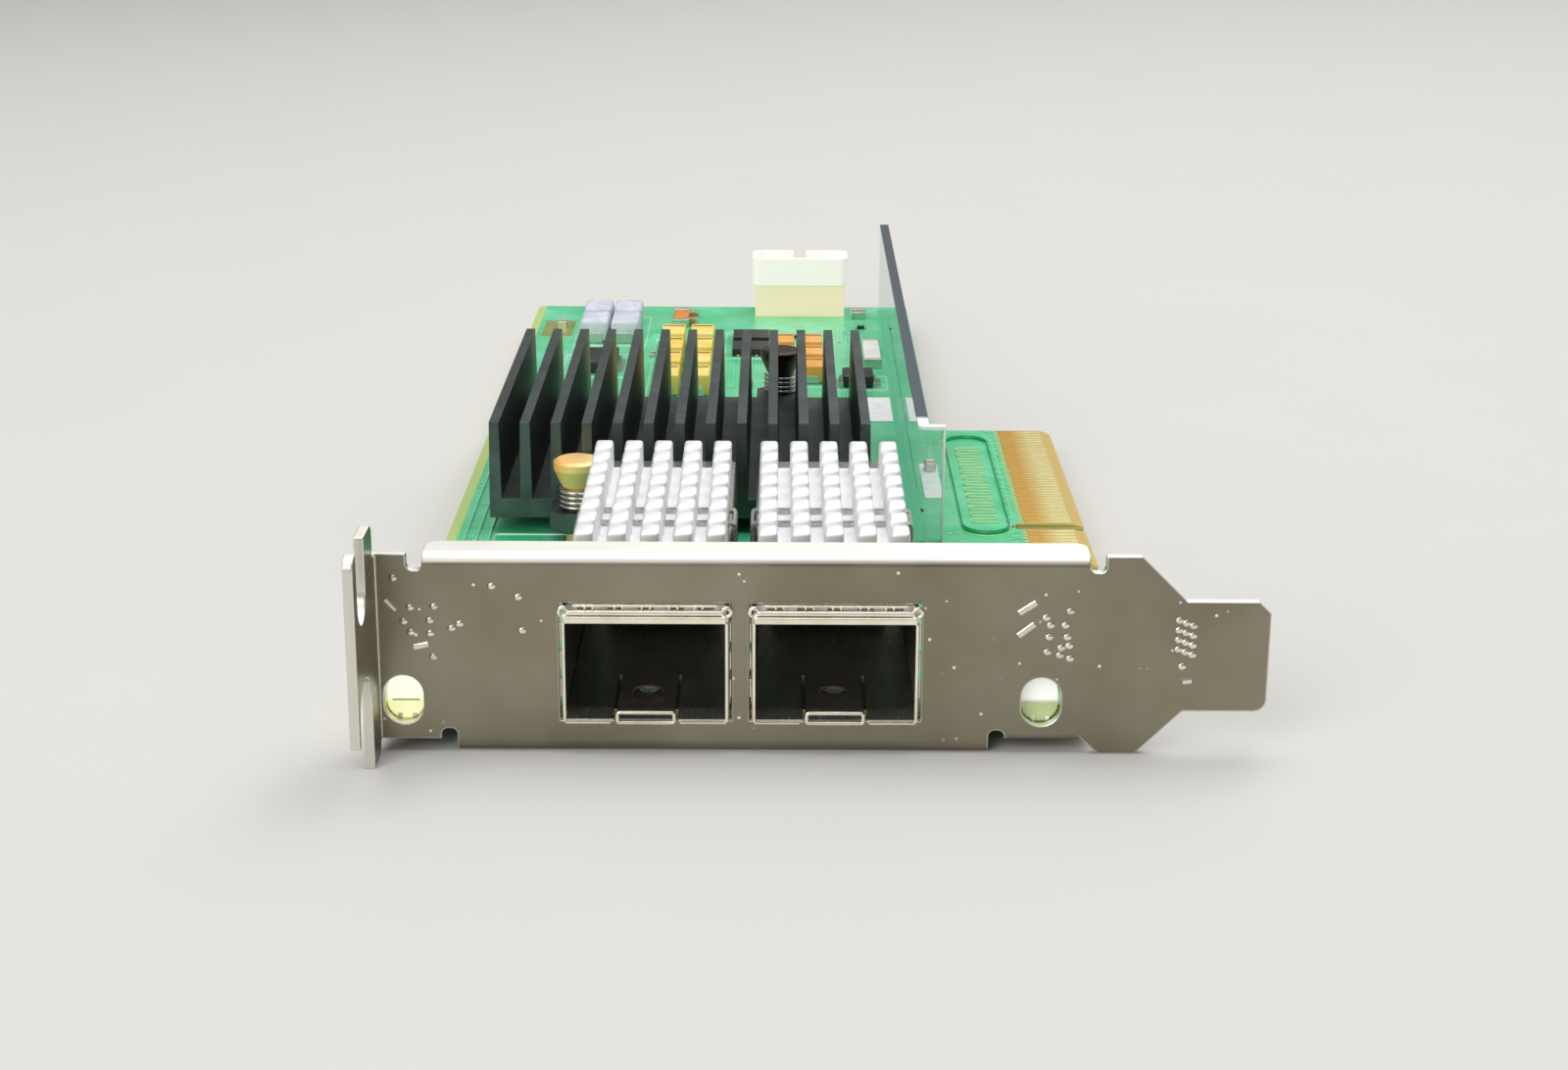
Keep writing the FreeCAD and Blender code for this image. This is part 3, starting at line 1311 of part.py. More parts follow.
def make_moulded_grid(name, left, front, size, pitch_x, pitch_y, rows):
    """Columns and rows of moulded parts, each with wrap-round terminals at its two ends."""
    body = new_node(name, left, front, board_top)
    width, length, height = size
    lift = z.terminal_lift
    draft = height * 0.08
    shoulder_height = height * 0.45
    far = length - lift
    made = []
    for column in range(int(z.moulded_columns.value)):
        side = column * pitch_x
        block = Profile(body, "YZ", side)
        block.outline([
            (lift, lift), (far, lift), (far, height / 2),
            (far - draft, height), (lift + draft, height), (lift, height / 2),
        ])
        made.append(pad(block, width))
        ends = Profile(body, "YZ", side + width / 4)
        reach = z.moulded_terminal
        ends.outline([
            (0, 0), (reach, 0), (reach, lift), (lift, lift),
            (lift, shoulder_height), (0, shoulder_height),
        ])
        ends.outline([
            (length, 0), (length, shoulder_height), (far, shoulder_height),
            (far, lift), (length - reach, lift), (length - reach, 0),
        ])
        made.append(pad(ends, width / 2))
    repeat(body, made, "Y", rows, pitch_y)


def make_end_capped(name, places, length, width, height, terminal, bottom):
    """Ceramic parts with metal end caps, at several places of the board."""
    body = new_node(name, 0, 0, bottom)
    lift = z.end_cap_lift
    for middle_x, middle_y, turned in places:
        across, along = (width, length) if turned else (length, width)
        inset_x, inset_y = (as_size(lift), terminal) if turned else (terminal, as_size(lift))
        left = as_size(middle_x) - across / 2
        front = as_size(middle_y) - along / 2
        right = left + across
        rear = front + along
        block = Profile(body, "XY", lift)
        block.rectangle(left + inset_x, front + inset_y, right - inset_x, rear - inset_y)
        pad(block, height - lift * 2)
        caps = Profile(body, "XY", 0)
        if turned:
            caps.rectangle(left, front, right, front + terminal)
            caps.rectangle(left, rear - terminal, right, rear)
        else:
            caps.rectangle(left, front, left + terminal, rear)
            caps.rectangle(right - terminal, front, right, rear)
        pad(caps, height)


def make_leaded_package(name, x, y, length, width, height, leads):
    """Small-outline package with gull-wing leads on its two long sides."""
    body = new_node(name, x, y, board_top)
    half_width = width / 2
    seat = z.lead_seat
    waist = (height + seat) / 2
    block = Profile(body, "XZ", -length / 2)
    draft = height * 0.1
    block.outline([
        (draft - half_width, seat), (half_width - draft, seat), (half_width, waist),
        (half_width - draft, height), (draft - half_width, height), (-half_width, waist),
    ])
    pad(block, length)
    thin = z.leaded_lead_thickness
    reach = z.leaded_lead_reach
    row = (leads - 1) * z.leaded_lead_pitch + z.leaded_lead_width
    lead = Profile(body, "XZ", -row / 2)
    for sense in (-1, 1):
        shoulder_x = half_width + reach * 0.35
        points = [
            (half_width - thin, waist - thin / 2), (shoulder_x, waist - thin / 2),
            (shoulder_x, 0), (half_width + reach, 0), (half_width + reach, thin),
            (shoulder_x + thin, thin), (shoulder_x + thin, waist + thin / 2),
            (half_width - thin, waist + thin / 2),
        ]
        lead.outline([(sense * across, up) for across, up in points])
    repeat(body, [pad(lead, z.leaded_lead_width)], "Y", as_size(leads), z.leaded_lead_pitch)


def make_switches():
    """Flat power switches beside the capacitors, in one row."""
    body = new_node("power_switches", z.switch_left, z.switch_front, board_top)
    block = Profile(body, "XY", 0)
    block.rectangle(0, 0, z.switch_size, z.switch_size)
    repeat(body, [pad(block, z.switch_height)], "Y", as_size(2), z.switch_pitch)


def make_crystal():
    """Seam-welded crystal can: a lid on a ceramic base."""
    body = new_node("crystal", z.crystal_x, z.crystal_y, board_top)
    base = Profile(body, "XY", 0)
    base.rectangle(0, 0, z.crystal_length, z.crystal_width)
    pad(base, z.crystal_height * 0.6)
    rim = z.crystal_width * 0.08
    lid = Profile(body, "XY", z.crystal_height * 0.6)
    lid.rectangle(rim, rim, z.crystal_length - rim, z.crystal_width - rim)
    pad(lid, z.crystal_height * 0.4)


def make_guard():
    """Clear upright guard along the right edge, with a lip turned out at its front."""
    body = new_node("edge_guard", 0, 0, board_top)
    left = z.guard_x
    right = z.guard_x + z.guard_thickness
    wall = Profile(body, "XY", 0)
    wall.outline([
        (left, z.guard_front),
        (left + z.guard_lip + z.guard_thickness, z.guard_front),
        (left + z.guard_lip + z.guard_thickness, z.guard_front + z.guard_thickness),
        (right, z.guard_front + z.guard_thickness),
        (right, guard_rear),
        (left, guard_rear),
    ])
    pad(wall, z.guard_top - board_top)
    dress(body, "Fillet", z.guard_thickness * 0.8, "z", [{"x": left, "y": z.guard_front}])
    pegs = Profile(body, "XY", -z.board_thickness - z.guard_peg_below)
    for peg_y in guard_peg_places:
        pegs.circle(guard_peg_x, peg_y, z.guard_peg / 2)
    pad(pegs, z.board_thickness + z.guard_peg_below)


# --------------------------------------------------------------------------- the whole card

beside_cages = port_x["left"] - half_cage
# Each place gives a part's middle and says whether it is turned to lie along the card.
CERAMIC_PLACES = [
    (beside_cages - 4.0, board_front + 20.0, False),
    (beside_cages - 4.0, board_front + 24.0, False),
    (beside_cages - 4.0, board_front + 28.0, False),
    (beside_cages - 8.5, board_front + 30.0, True),
    (z.sink_left + 4.0, sink_rear + 5.2, False),
    (z.sink_left + 15.5, sink_rear + 7.4, True),
    (z.sink_left + 19.0, sink_rear + 7.4, True),
    (z.sink_left + 22.5, sink_rear + 7.4, True),
    (z.small_bulk_left - 3.3, board_rear - 48.0, True),
    (z.bulk_left + 3.6, board_rear - 8.0, False),
    (z.bulk_left + 3.6, board_rear - 12.0, False),
    (z.inductor_left - 3.2, board_rear - 14.0, True),
    (z.guard_x - 3.0, z.sink_front + 3.0, False),
    (z.guard_x - 3.0, z.sink_front + 17.0, True),
    (z.guard_x - 3.0, z.sink_front + 21.5, True),
    (z.guard_x + 3.0, z.sink_front + 25.0, True),
]
RESISTOR_PLACES = [
    (beside_cages - 8.5, board_front + 34.0, True),
    (beside_cages - 6.5, board_front + 34.0, True),
    (beside_cages - 10.5, board_front + 40.0, False),
    (shoulder_right - 5.0, board_front + 24.0, False),
    (shoulder_right - 5.0, board_front + 27.0, False),
    (z.sink_left + 9.5, sink_rear + 6.0, True),
    (z.sink_left + 12.0, sink_rear + 6.0, True),
    (z.guard_x - 3.0, z.sink_front + 9.0, False),
    (z.guard_x - 3.0, z.sink_front + 11.4, False),
    (z.guard_x - 3.0, board_rear - 14.0, False),
    (z.driver_x + 6.5, board_rear - 31.0, True),
    (z.small_bulk_left + 3.0, board_rear - 20.0, False),
]
under_x = z.sink_left + sink_width / 2
under_y = z.sink_front + z.sink_length / 2
UNDERSIDE_PLACES = [
    (under_x + column * 3.2, under_y + row * 3.4, False)
    for column in (-1, 0, 1) for row in (-1, 0, 1)
]


def make_card():
    """Build every sub-part of the card."""
    make_bracket()
    make_bracket_screws()
    make_board()
    make_edge_contacts()
    for side in port_x:
        make_cage_shell(side)
        make_cage_floor(side)
        make_spring_collar(side)
        make_host_connector(side)
        make_host_leads(side)
        make_pin_sink(side)
        make_sink_clip(side)
        make_lamp(side)
    make_main_sink()
    make_controller()
    make_thermal_pad()
    for which in push_pin_places:
        make_push_pin(which)
        make_push_pin_spring(which)
    make_header()
    make_header_pins()
    make_moulded_grid(
        "power_inductors", z.inductor_left, z.inductor_front,
        (z.inductor_width, z.inductor_length, z.inductor_height),
        z.inductor_pitch_x, z.inductor_pitch_y, z.inductor_rows,
    )
    make_moulded_grid(
        "bulk_capacitors", z.bulk_left, z.bulk_front,
        (z.bulk_width, z.bulk_length, z.bulk_height),
        z.bulk_pitch_x, z.bulk_pitch_y, z.bulk_rows,
    )
    make_moulded_grid(
        "small_bulk_capacitors", z.small_bulk_left, z.small_bulk_front,
        (z.small_bulk_width, z.small_bulk_length, z.small_bulk_height),
        z.small_bulk_pitch_x, z.small_bulk_pitch_y, z.small_bulk_rows,
    )
    make_end_capped(
        "ceramic_capacitors", CERAMIC_PLACES, z.ceramic_length, z.ceramic_width,
        z.ceramic_height, z.ceramic_terminal, board_top,
    )
    make_end_capped(
        "chip_resistors", RESISTOR_PLACES, z.resistor_length, z.resistor_width,
        z.resistor_height, z.resistor_terminal, board_top,
    )
    make_end_capped(
        "underside_capacitors", UNDERSIDE_PLACES, z.resistor_length, z.resistor_width,
        z.resistor_height, z.resistor_terminal, z.board_underside - z.resistor_height,
    )
    make_leaded_package(
        "memory_chip", z.flash_x, z.flash_y, z.flash_length, z.flash_width, z.flash_height, 4,
    )
    make_leaded_package(
        "regulator_chip", z.driver_x, z.driver_y, z.driver_length, z.driver_width,
        z.driver_height, 7,
    )
    make_switches()
    make_crystal()
    make_guard()


# --------------------------------------------------------------------------- checks and output


def report_problems():
    """Stop where an object of the document failed or a sub-part has no sound shape."""
    for item in doc.Objects:
        if "Invalid" in item.State or "Error" in item.State:
            raise RuntimeError("%s: %s" % (item.Name, item.State))
    for node in NODES:
        if node.Shape.isNull() or not node.Shape.isValid():
            raise RuntimeError("%s has no valid shape" % node.Label)


def write_steps():
    """Write one STEP file for each sub-part."""
    os.makedirs("parts", exist_ok=True)
    for node in NODES:
        node.Shape.exportStep(os.path.join("parts", node.Label + ".step"))


make_card()
doc.recompute()
report_problems()
write_steps()
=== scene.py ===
import functools
import math
import random

import bmesh
import bpy
from mathutils import Matrix, Vector


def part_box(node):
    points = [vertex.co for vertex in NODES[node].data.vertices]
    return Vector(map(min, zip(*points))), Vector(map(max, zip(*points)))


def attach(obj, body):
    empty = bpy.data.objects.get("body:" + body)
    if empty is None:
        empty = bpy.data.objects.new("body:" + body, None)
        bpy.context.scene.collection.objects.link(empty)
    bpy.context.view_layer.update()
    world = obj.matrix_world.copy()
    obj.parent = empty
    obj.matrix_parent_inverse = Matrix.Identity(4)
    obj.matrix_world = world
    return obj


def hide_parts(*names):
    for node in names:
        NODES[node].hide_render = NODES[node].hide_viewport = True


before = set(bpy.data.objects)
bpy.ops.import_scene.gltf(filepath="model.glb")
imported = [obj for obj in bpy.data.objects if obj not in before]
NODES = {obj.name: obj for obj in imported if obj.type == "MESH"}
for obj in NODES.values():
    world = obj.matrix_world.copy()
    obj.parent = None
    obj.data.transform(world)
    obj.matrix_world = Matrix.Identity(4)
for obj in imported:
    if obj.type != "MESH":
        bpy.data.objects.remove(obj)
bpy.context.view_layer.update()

bl_info = {
    "name": "Network Interface Card Dressing",
    "version": (1, 0, 0),
    "blender": (4, 5, 0),
    "location": "View3D > Sidebar > Card",
    "description": "Finishes and fine pieces of a two-port network interface card",
    "category": "Object",
}

# Places are given as on a drawing of the card, in millimetres: X from the outer face of the
# bracket's flange, Y from the front face of its plate, Z up from its lower edge.
MM = 0.001
BOARD_FRONT = 1.06
SIDES = ("left", "right")
BOARD_LOW, BOARD_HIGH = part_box("circuit_board")
BOARD_TOP = BOARD_HIGH.z
BRACKET_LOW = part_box("bracket")[0]
PLATE_FACE = BOARD_LOW.y - BOARD_FRONT * MM
# Thickness of a label, and twice that of a coat of ink, in millimetres.
LABEL = 0.1
# Settings and inputs that many nodes share: a mix of colours, three sums and a falling range.
OF_COLOURS = {"data_type": "RGBA"}
PRODUCT = {"operation": "MULTIPLY"}
LARGER = {"operation": "MAXIMUM"}
LESS = {"operation": "LESS_THAN"}
FALLING = {"To_Min": 1.0, "To_Max": 0.0}


# ---------- small tools


def at(x, y, z):
    """A place on the card's drawing as a place in the frame."""
    return Vector((BRACKET_LOW.x + x * MM, PLATE_FACE + y * MM, z * MM))


def on_board(x, y):
    """A place on the board's top face."""
    return Vector((BRACKET_LOW.x + x * MM, PLATE_FACE + y * MM, BOARD_TOP))


def board_path(*places):
    """A path over the board's top face."""
    return [on_board(x, y) for x, y in places]


def up(height):
    """A step up, in millimetres."""
    return Vector((0, 0, height * MM))


def linear(colour):
    """Turn a six-figure sRGB colour into the linear one that shader nodes take."""
    parts = [int(colour[i:i + 2], 16) / 255 for i in (1, 3, 5)]
    return tuple(p / 12.92 if p <= 0.04045 else ((p + 0.055) / 1.055) ** 2.4 for p in parts) + (1.0,)


def add_node(tree, kind, settings=None, *ordered, stops=(), **named):
    """Add a node with its settings, its inputs in order or by name, and any colour stops.

    An input is set to a value or a six-figure colour, or linked to a socket; a node stands for its
    first output in use. In a shader tree the kind is given without the word ShaderNode in front.
    """
    node = tree.nodes.new("ShaderNode" + kind if tree.type == "SHADER" else kind)
    for name, value in (settings or {}).items():
        setattr(node, name, value)
    inputs = list(enumerate(ordered)) + [(name.replace("_", " "), named[name]) for name in named]
    for name, value in inputs:
        if isinstance(value, bpy.types.Node):
            value = next(output for output in value.outputs if output.enabled)
        elif isinstance(value, str) and value.startswith("#"):
            value = linear(value)
        if isinstance(value, bpy.types.NodeSocket):
            tree.links.new(value, node.inputs[name])
        else:
            node.inputs[name].default_value = value
    for index, (position, colour) in enumerate(stops):
        elements = node.color_ramp.elements
        element = elements[index] if index < len(elements) else elements.new(position)
        element.position = position
        element.color = linear(colour)
    return node


def add_object(name, data):
    """Put a mesh, a light or a camera in the scene."""
    made = bpy.data.objects.new(name, data)
    bpy.context.scene.collection.objects.link(made)
    return made


def add_piece(name, mesh, material=None):
    """Put a mesh in the scene as a piece that rides on the card."""
    piece = add_object(name, mesh)
    if material:
        mesh.materials.clear()
        mesh.materials.append(material)
    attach(piece, "root")
    return piece


def paint(material, *names):
    """Give CAD nodes one finish."""
    for name in names:
        NODES[name].data.materials.clear()
        NODES[name].data.materials.append(material)


def solids_of(name):
    """The box of each separate solid of a CAD node, as (lowest corner, highest corner)."""
    work = bmesh.new()
    work.from_mesh(NODES[name].data)
    bmesh.ops.remove_doubles(work, verts=work.verts, dist=1e-7)
    unseen = set(work.verts)
    boxes = []
    while unseen:
        front = [unseen.pop()]
        found = list(front)
        while front:
            vertex = front.pop()
            for edge in vertex.link_edges:
                other = edge.other_vert(vertex)
                if other in unseen:
                    unseen.remove(other)
                    front.append(other)
                    found.append(other)
        axes = list(zip(*(vertex.co for vertex in found)))
        boxes.append((Vector([min(axis) for axis in axes]), Vector([max(axis) for axis in axes])))
    work.free()
    return sorted(boxes, key=lambda b: (round(b[0].y, 6), round(b[0].x, 6)))


def feet_of(boxes):
    """The middle of the lower face of each box."""
    return [((low.x + high.x) / 2, (low.y + high.y) / 2, low.z) for low, high in boxes]


def as_mesh(name, work):
    """Finish a bmesh as a mesh with outward faces."""
    bmesh.ops.recalc_face_normals(work, faces=work.faces)
    mesh = bpy.data.meshes.new(name)
    work.to_mesh(mesh)
    work.free()
    return mesh


def add_block(work, low, high, rounding=0.0, segments=2):
    """Add a box between two corners, with rounded edges, to a bmesh."""
    made = bmesh.ops.create_cube(work, size=1.0)["verts"]
    middle = (Vector(low) + Vector(high)) / 2
    size = Vector(high) - Vector(low)
    for vertex in made:
        vertex.co = Vector([middle[i] + vertex.co[i] * size[i] for i in range(3)])
    if rounding:
        edges = list({edge for vertex in made for edge in vertex.link_edges})
        bmesh.ops.bevel(work, geom=edges, offset=rounding, segments=segments, profile=0.5, affect="EDGES")


def blocks_mesh(name, boxes, rounding=0.0, segments=2, smooth=False):
    """One mesh of several rounded blocks."""
    work = bmesh.new()
    for low, high in boxes:
        add_block(work, low, high, rounding, segments)
    for face in work.faces:
        face.smooth = smooth
    return as_mesh(name, work)


def add_blocks(name, boxes, material, rounding=0.0):
    """Put blocks in the scene as one piece; the rounding is in metres."""
    return add_piece(name, blocks_mesh(name, boxes, rounding), material)


def cone_mesh(name, segments, lower, upper, depth, place=(0, 0, 0)):
    """A closed cone or peg about a place, with its two radii and its depth in millimetres."""
    work = bmesh.new()
    bmesh.ops.create_cone(
        work, cap_ends=True, segments=segments, radius1=lower * MM, radius2=upper * MM, depth=depth * MM
    )
    for vertex in work.verts:
        vertex.co += Vector(place)
    return as_mesh(name, work)


def extruded_mesh(name, section, half_width):
    """A closed outline in the XZ plane, drawn out to both sides along Y."""
    work = bmesh.new()
    front = [work.verts.new((x, -half_width, z)) for x, z in section]
    rear = [work.verts.new((x, half_width, z)) for x, z in section]
    work.faces.new(front)
    work.faces.new(list(reversed(rear)))
    for i in range(len(section)):
        work.faces.new((front[i - 1], rear[i - 1], rear[i], front[i]))
    return as_mesh(name, work)


def points_mesh(name, places, turns=None):
    """Loose points, each with a turn about Z, for a tree that sets a part on them."""
    mesh = bpy.data.meshes.new(name)
    mesh.from_pydata([tuple(p) for p in places], [], [])
    turn = mesh.attributes.new("turn", "FLOAT", "POINT")
    for index, angle in enumerate(turns or [0.0] * len(places)):
        turn.data[index].value = angle
    return mesh


def path_mesh(name, paths, closed=False):
    """Paths as loose edges, for a tree that lays a strip or a wire along them."""
    mesh = bpy.data.meshes.new(name)
    points = []
    edges = []
    for path in paths:
        first = len(points)
        points.extend(tuple(p) for p in path)
        edges.extend((first + i, first + i + 1) for i in range(len(path) - 1))
        if closed:
            edges.append((first + len(path) - 1, first))
    mesh.from_pydata(points, edges, [])
    return mesh


# ---------- geometry trees


def open_tree(name, **sockets):
    """Start a geometry tree: the tree, a function that adds nodes to it, and what it is given."""
    tree = bpy.data.node_groups.new(name, "GeometryNodeTree")
    for label, kind in {"Geometry": "Geometry", **sockets}.items():
        tree.interface.new_socket(label, in_out="INPUT", socket_type="NodeSocket" + kind)
    tree.interface.new_socket("Geometry", in_out="OUTPUT", socket_type="NodeSocketGeometry")
    add = functools.partial(add_node, tree)
    return tree, add, add("NodeGroupInput").outputs


def close_tree(add, geometry, given):
    """End a tree with real geometry and its material."""
    real = add("GeometryNodeRealizeInstances", Geometry=geometry)
    made = add("GeometryNodeSetMaterial", Geometry=real, Material=given["Finish"])
    add("NodeGroupOutput", Geometry=made)


def rounded_path(add, given, steps):
    """The given edges as curves, with each corner rounded in a number of steps."""
    path = add("GeometryNodeMeshToCurve", Mesh=given["Geometry"])
    return add(
        "GeometryNodeFilletCurve", {"mode": "POLY"}, Curve=path, Radius=given["Corner"], Count=steps,
        Limit_Radius=True,
    )


def round_wire(add, line, sides, radius):
    """A smooth round wire along a curve."""
    section = add("GeometryNodeCurvePrimitiveCircle", Resolution=sides, Radius=radius)
    wire = add("GeometryNodeCurveToMesh", Curve=line, Profile_Curve=section, Fill_Caps=True)
    return add("GeometryNodeSetShadeSmooth", Geometry=wire)


def strip_tree():
    """A flat strip along each path: traces and printed lines."""
    tree, add, given = open_tree(
        "strip_along_path", Width="Float", Height="Float", Corner="Float", Finish="Material"
    )
    soft = rounded_path(add, given, 3)
    flat = add("GeometryNodeSetCurveNormal", {"mode": "Z_UP"}, Curve=soft)
    section = add("GeometryNodeCurvePrimitiveQuadrilateral", Width=given["Height"], Height=given["Width"])
    strip = add("GeometryNodeCurveToMesh", Curve=flat, Profile_Curve=section, Fill_Caps=True)
    close_tree(add, strip, given)
    return tree


def wire_tree():
    """A round wire along each path, with rounded bends."""
    tree, add, given = open_tree("wire_along_path", Radius="Float", Corner="Float", Finish="Material")
    close_tree(add, round_wire(add, rounded_path(add, given, 6), 8, given["Radius"]), given)
    return tree


def scatter_tree():
    """One small part on every point, turned about Z by the point's own turn."""
    tree, add, given = open_tree("part_on_points", Part="Object", Finish="Material")
    part = add("GeometryNodeObjectInfo", {"transform_space": "ORIGINAL"}, Object=given["Part"])
    turn = add("GeometryNodeInputNamedAttribute", {"data_type": "FLOAT"}, Name="turn")
    swing = add("FunctionNodeEulerToRotation", Euler=add("ShaderNodeCombineXYZ", Z=turn))
    spread = add(
        "GeometryNodeInstanceOnPoints", Points=given["Geometry"], Instance=part.outputs["Geometry"],
        Rotation=swing,
    )
    close_tree(add, spread, given)
    return tree


def coil_tree():
    """A coil of round wire that stands on a point."""
    tree, add, given = open_tree(
        "coil_of_wire", Turns="Float", Radius="Float", Rise="Float", Wire="Float", Finish="Material"
    )
    line = add(
        "GeometryNodeCurveSpiral", Resolution=32, Rotations=given["Turns"], Start_Radius=given["Radius"],
        End_Radius=given["Radius"], Height=given["Rise"],
    )
    coil = round_wire(add, line, 10, given["Wire"])
    stand = add("GeometryNodeInstanceOnPoints", Points=given["Geometry"], Instance=coil)
    close_tree(add, stand, given)
    return tree


def grow(name, tree, base, part=None, **values):
    """Run a tree on a base mesh and keep what it makes as a plain mesh piece."""
    maker = add_object(name + "_maker", base)
    helpers = [maker]
    if part:
        values["Part"] = add_object(name + "_part", part)
        helpers.append(values["Part"])
    modifier = maker.modifiers.new("grow", "NODES")
    modifier.node_group = tree
    for item in tree.interface.items_tree:
        if item.in_out == "INPUT" and item.name in values:
            modifier[item.identifier] = values[item.name]
    graph = bpy.context.evaluated_depsgraph_get()
    mesh = bpy.data.meshes.new_from_object(maker.evaluated_get(graph))
    maker.modifiers.remove(modifier)
    for helper in helpers:
        bpy.data.objects.remove(helper)
    mesh.name = name
    return add_piece(name, mesh)


def scatter(name, part, finish, places, turns=None):
    """Set a small part on each place, as one piece."""
    return grow(name, scatter_tree(), points_mesh(name, places, turns), part, Finish=finish)


def lay_wire(name, paths, finish, radius, corner, closed=False):
    """Lay a wire along each path, as one piece, with its radius and bends in millimetres."""
    base = path_mesh(name, paths, closed)
    return grow(name, wire_tree(), base, Radius=radius * MM, Corner=corner * MM, Finish=finish)


# ---------- finishes


def new_finish(name):
    """An empty node material, a function that adds nodes to it, and its object coordinates."""
    material = bpy.data.materials.new(name)
    material.use_nodes = True
    material.node_tree.nodes.clear()
    add = functools.partial(add_node, material.node_tree)
    return material, add, add("TexCoord").outputs["Object"]


def end_finish(add, grain, edge, depth, strength, **look):
    """End a finish: edges rounded by edge mm, grain raised by depth mm, the shader and the output."""
    rolled = add("Bevel", {"samples": 4}, Radius=edge * MM)
    raised = add("Bump", Height=grain, Distance=depth * MM, Strength=strength, Normal=rolled)
    add("OutputMaterial", Surface=add("BsdfPrincipled", Normal=raised, **look))


def grained(name, tones, rough, spread, cloud, grain, edge, depth, strength, **look):
    """A finish in two cloudy tones over a fine grain; cloud and grain are their sizes in mm."""
    material, add, places = new_finish(name)
    tone = add("TexNoise", Vector=places, Scale=1 / (cloud * MM), Detail=3.0)
    fine = add("TexNoise", Vector=places, Scale=1 / (grain * MM), Detail=4.0)
    stops = ((0.5 - spread, tones[0]), (0.5 + spread, tones[1]))
    colour = add("ValToRGB", Fac=tone, stops=stops)
    rough_map = add(
        "MapRange", Value=fine, From_Min=0.3, From_Max=0.7, To_Min=rough * 0.85,
        To_Max=rough * 1.15,
    )
    end_finish(add, fine, edge, depth, strength, Base_Color=colour, Roughness=rough_map, **look)
    return material


def metal(name, dark, light, rough, lump=1.2, depth=0.004, edge=0.05):
    """A bare or plated metal: cloudy tone, fine surface grain and edges rounded by edge mm."""
    return grained(
        name, (dark, light), rough, spread=0.2, cloud=lump * 6, grain=lump * 0.25, edge=edge,
        depth=depth, strength=0.6, Metallic=1.0,
    )


def plastic(name, dark, light, rough, lump=0.5, depth=0.01):
    """A moulded or coated body: small tone changes and the texture of its mould."""
    return grained(
        name, (dark, light), rough, spread=0.15, cloud=lump * 8, grain=lump, edge=0.1, depth=depth,
        strength=0.7,
    )


def graded(name, low_colour, high_colour, low, high, rough, axis="Z", metallic=0.0, glow=0.0):
    """A tone that changes along one axis between two places in metres; glow is painted light, an emission
    in the tone's own colour.
    """
    material, add, places = new_finish(name)
    where = add("SeparateXYZ", Vector=places).outputs[axis]
    rise = add("MapRange", Value=where, From_Min=low, From_Max=high)
    fine = add("TexNoise", Vector=places, Scale=1 / (0.6 * MM), Detail=3.0)
    colour = add("Mix", OF_COLOURS, Factor=rise, A=low_colour, B=high_colour)
    end_finish(
        add, fine, edge=0.12, depth=0.005, strength=0.5, Base_Color=colour, Metallic=metallic,
        Roughness=rough, Emission_Color=colour, Emission_Strength=glow,
    )
    return material


def tinted(name, tone, rough):
    """A printed or coated film in one tone, mottled green where it is thin."""
    material, add, places = new_finish(name)
    fine = add("TexNoise", Vector=places, Scale=1 / (0.8 * MM), Detail=3.0)
    thin = add("MapRange", Value=fine, From_Min=0.35, From_Max=0.7, To_Min=0.0, To_Max=0.25)
    colour = add("Mix", OF_COLOURS, Factor=thin, A=tone, B="#5CC896")
    surface = add("BsdfPrincipled", Base_Color=colour, Roughness=rough, IOR=1.5)
    add("OutputMaterial", Surface=surface)
    return material


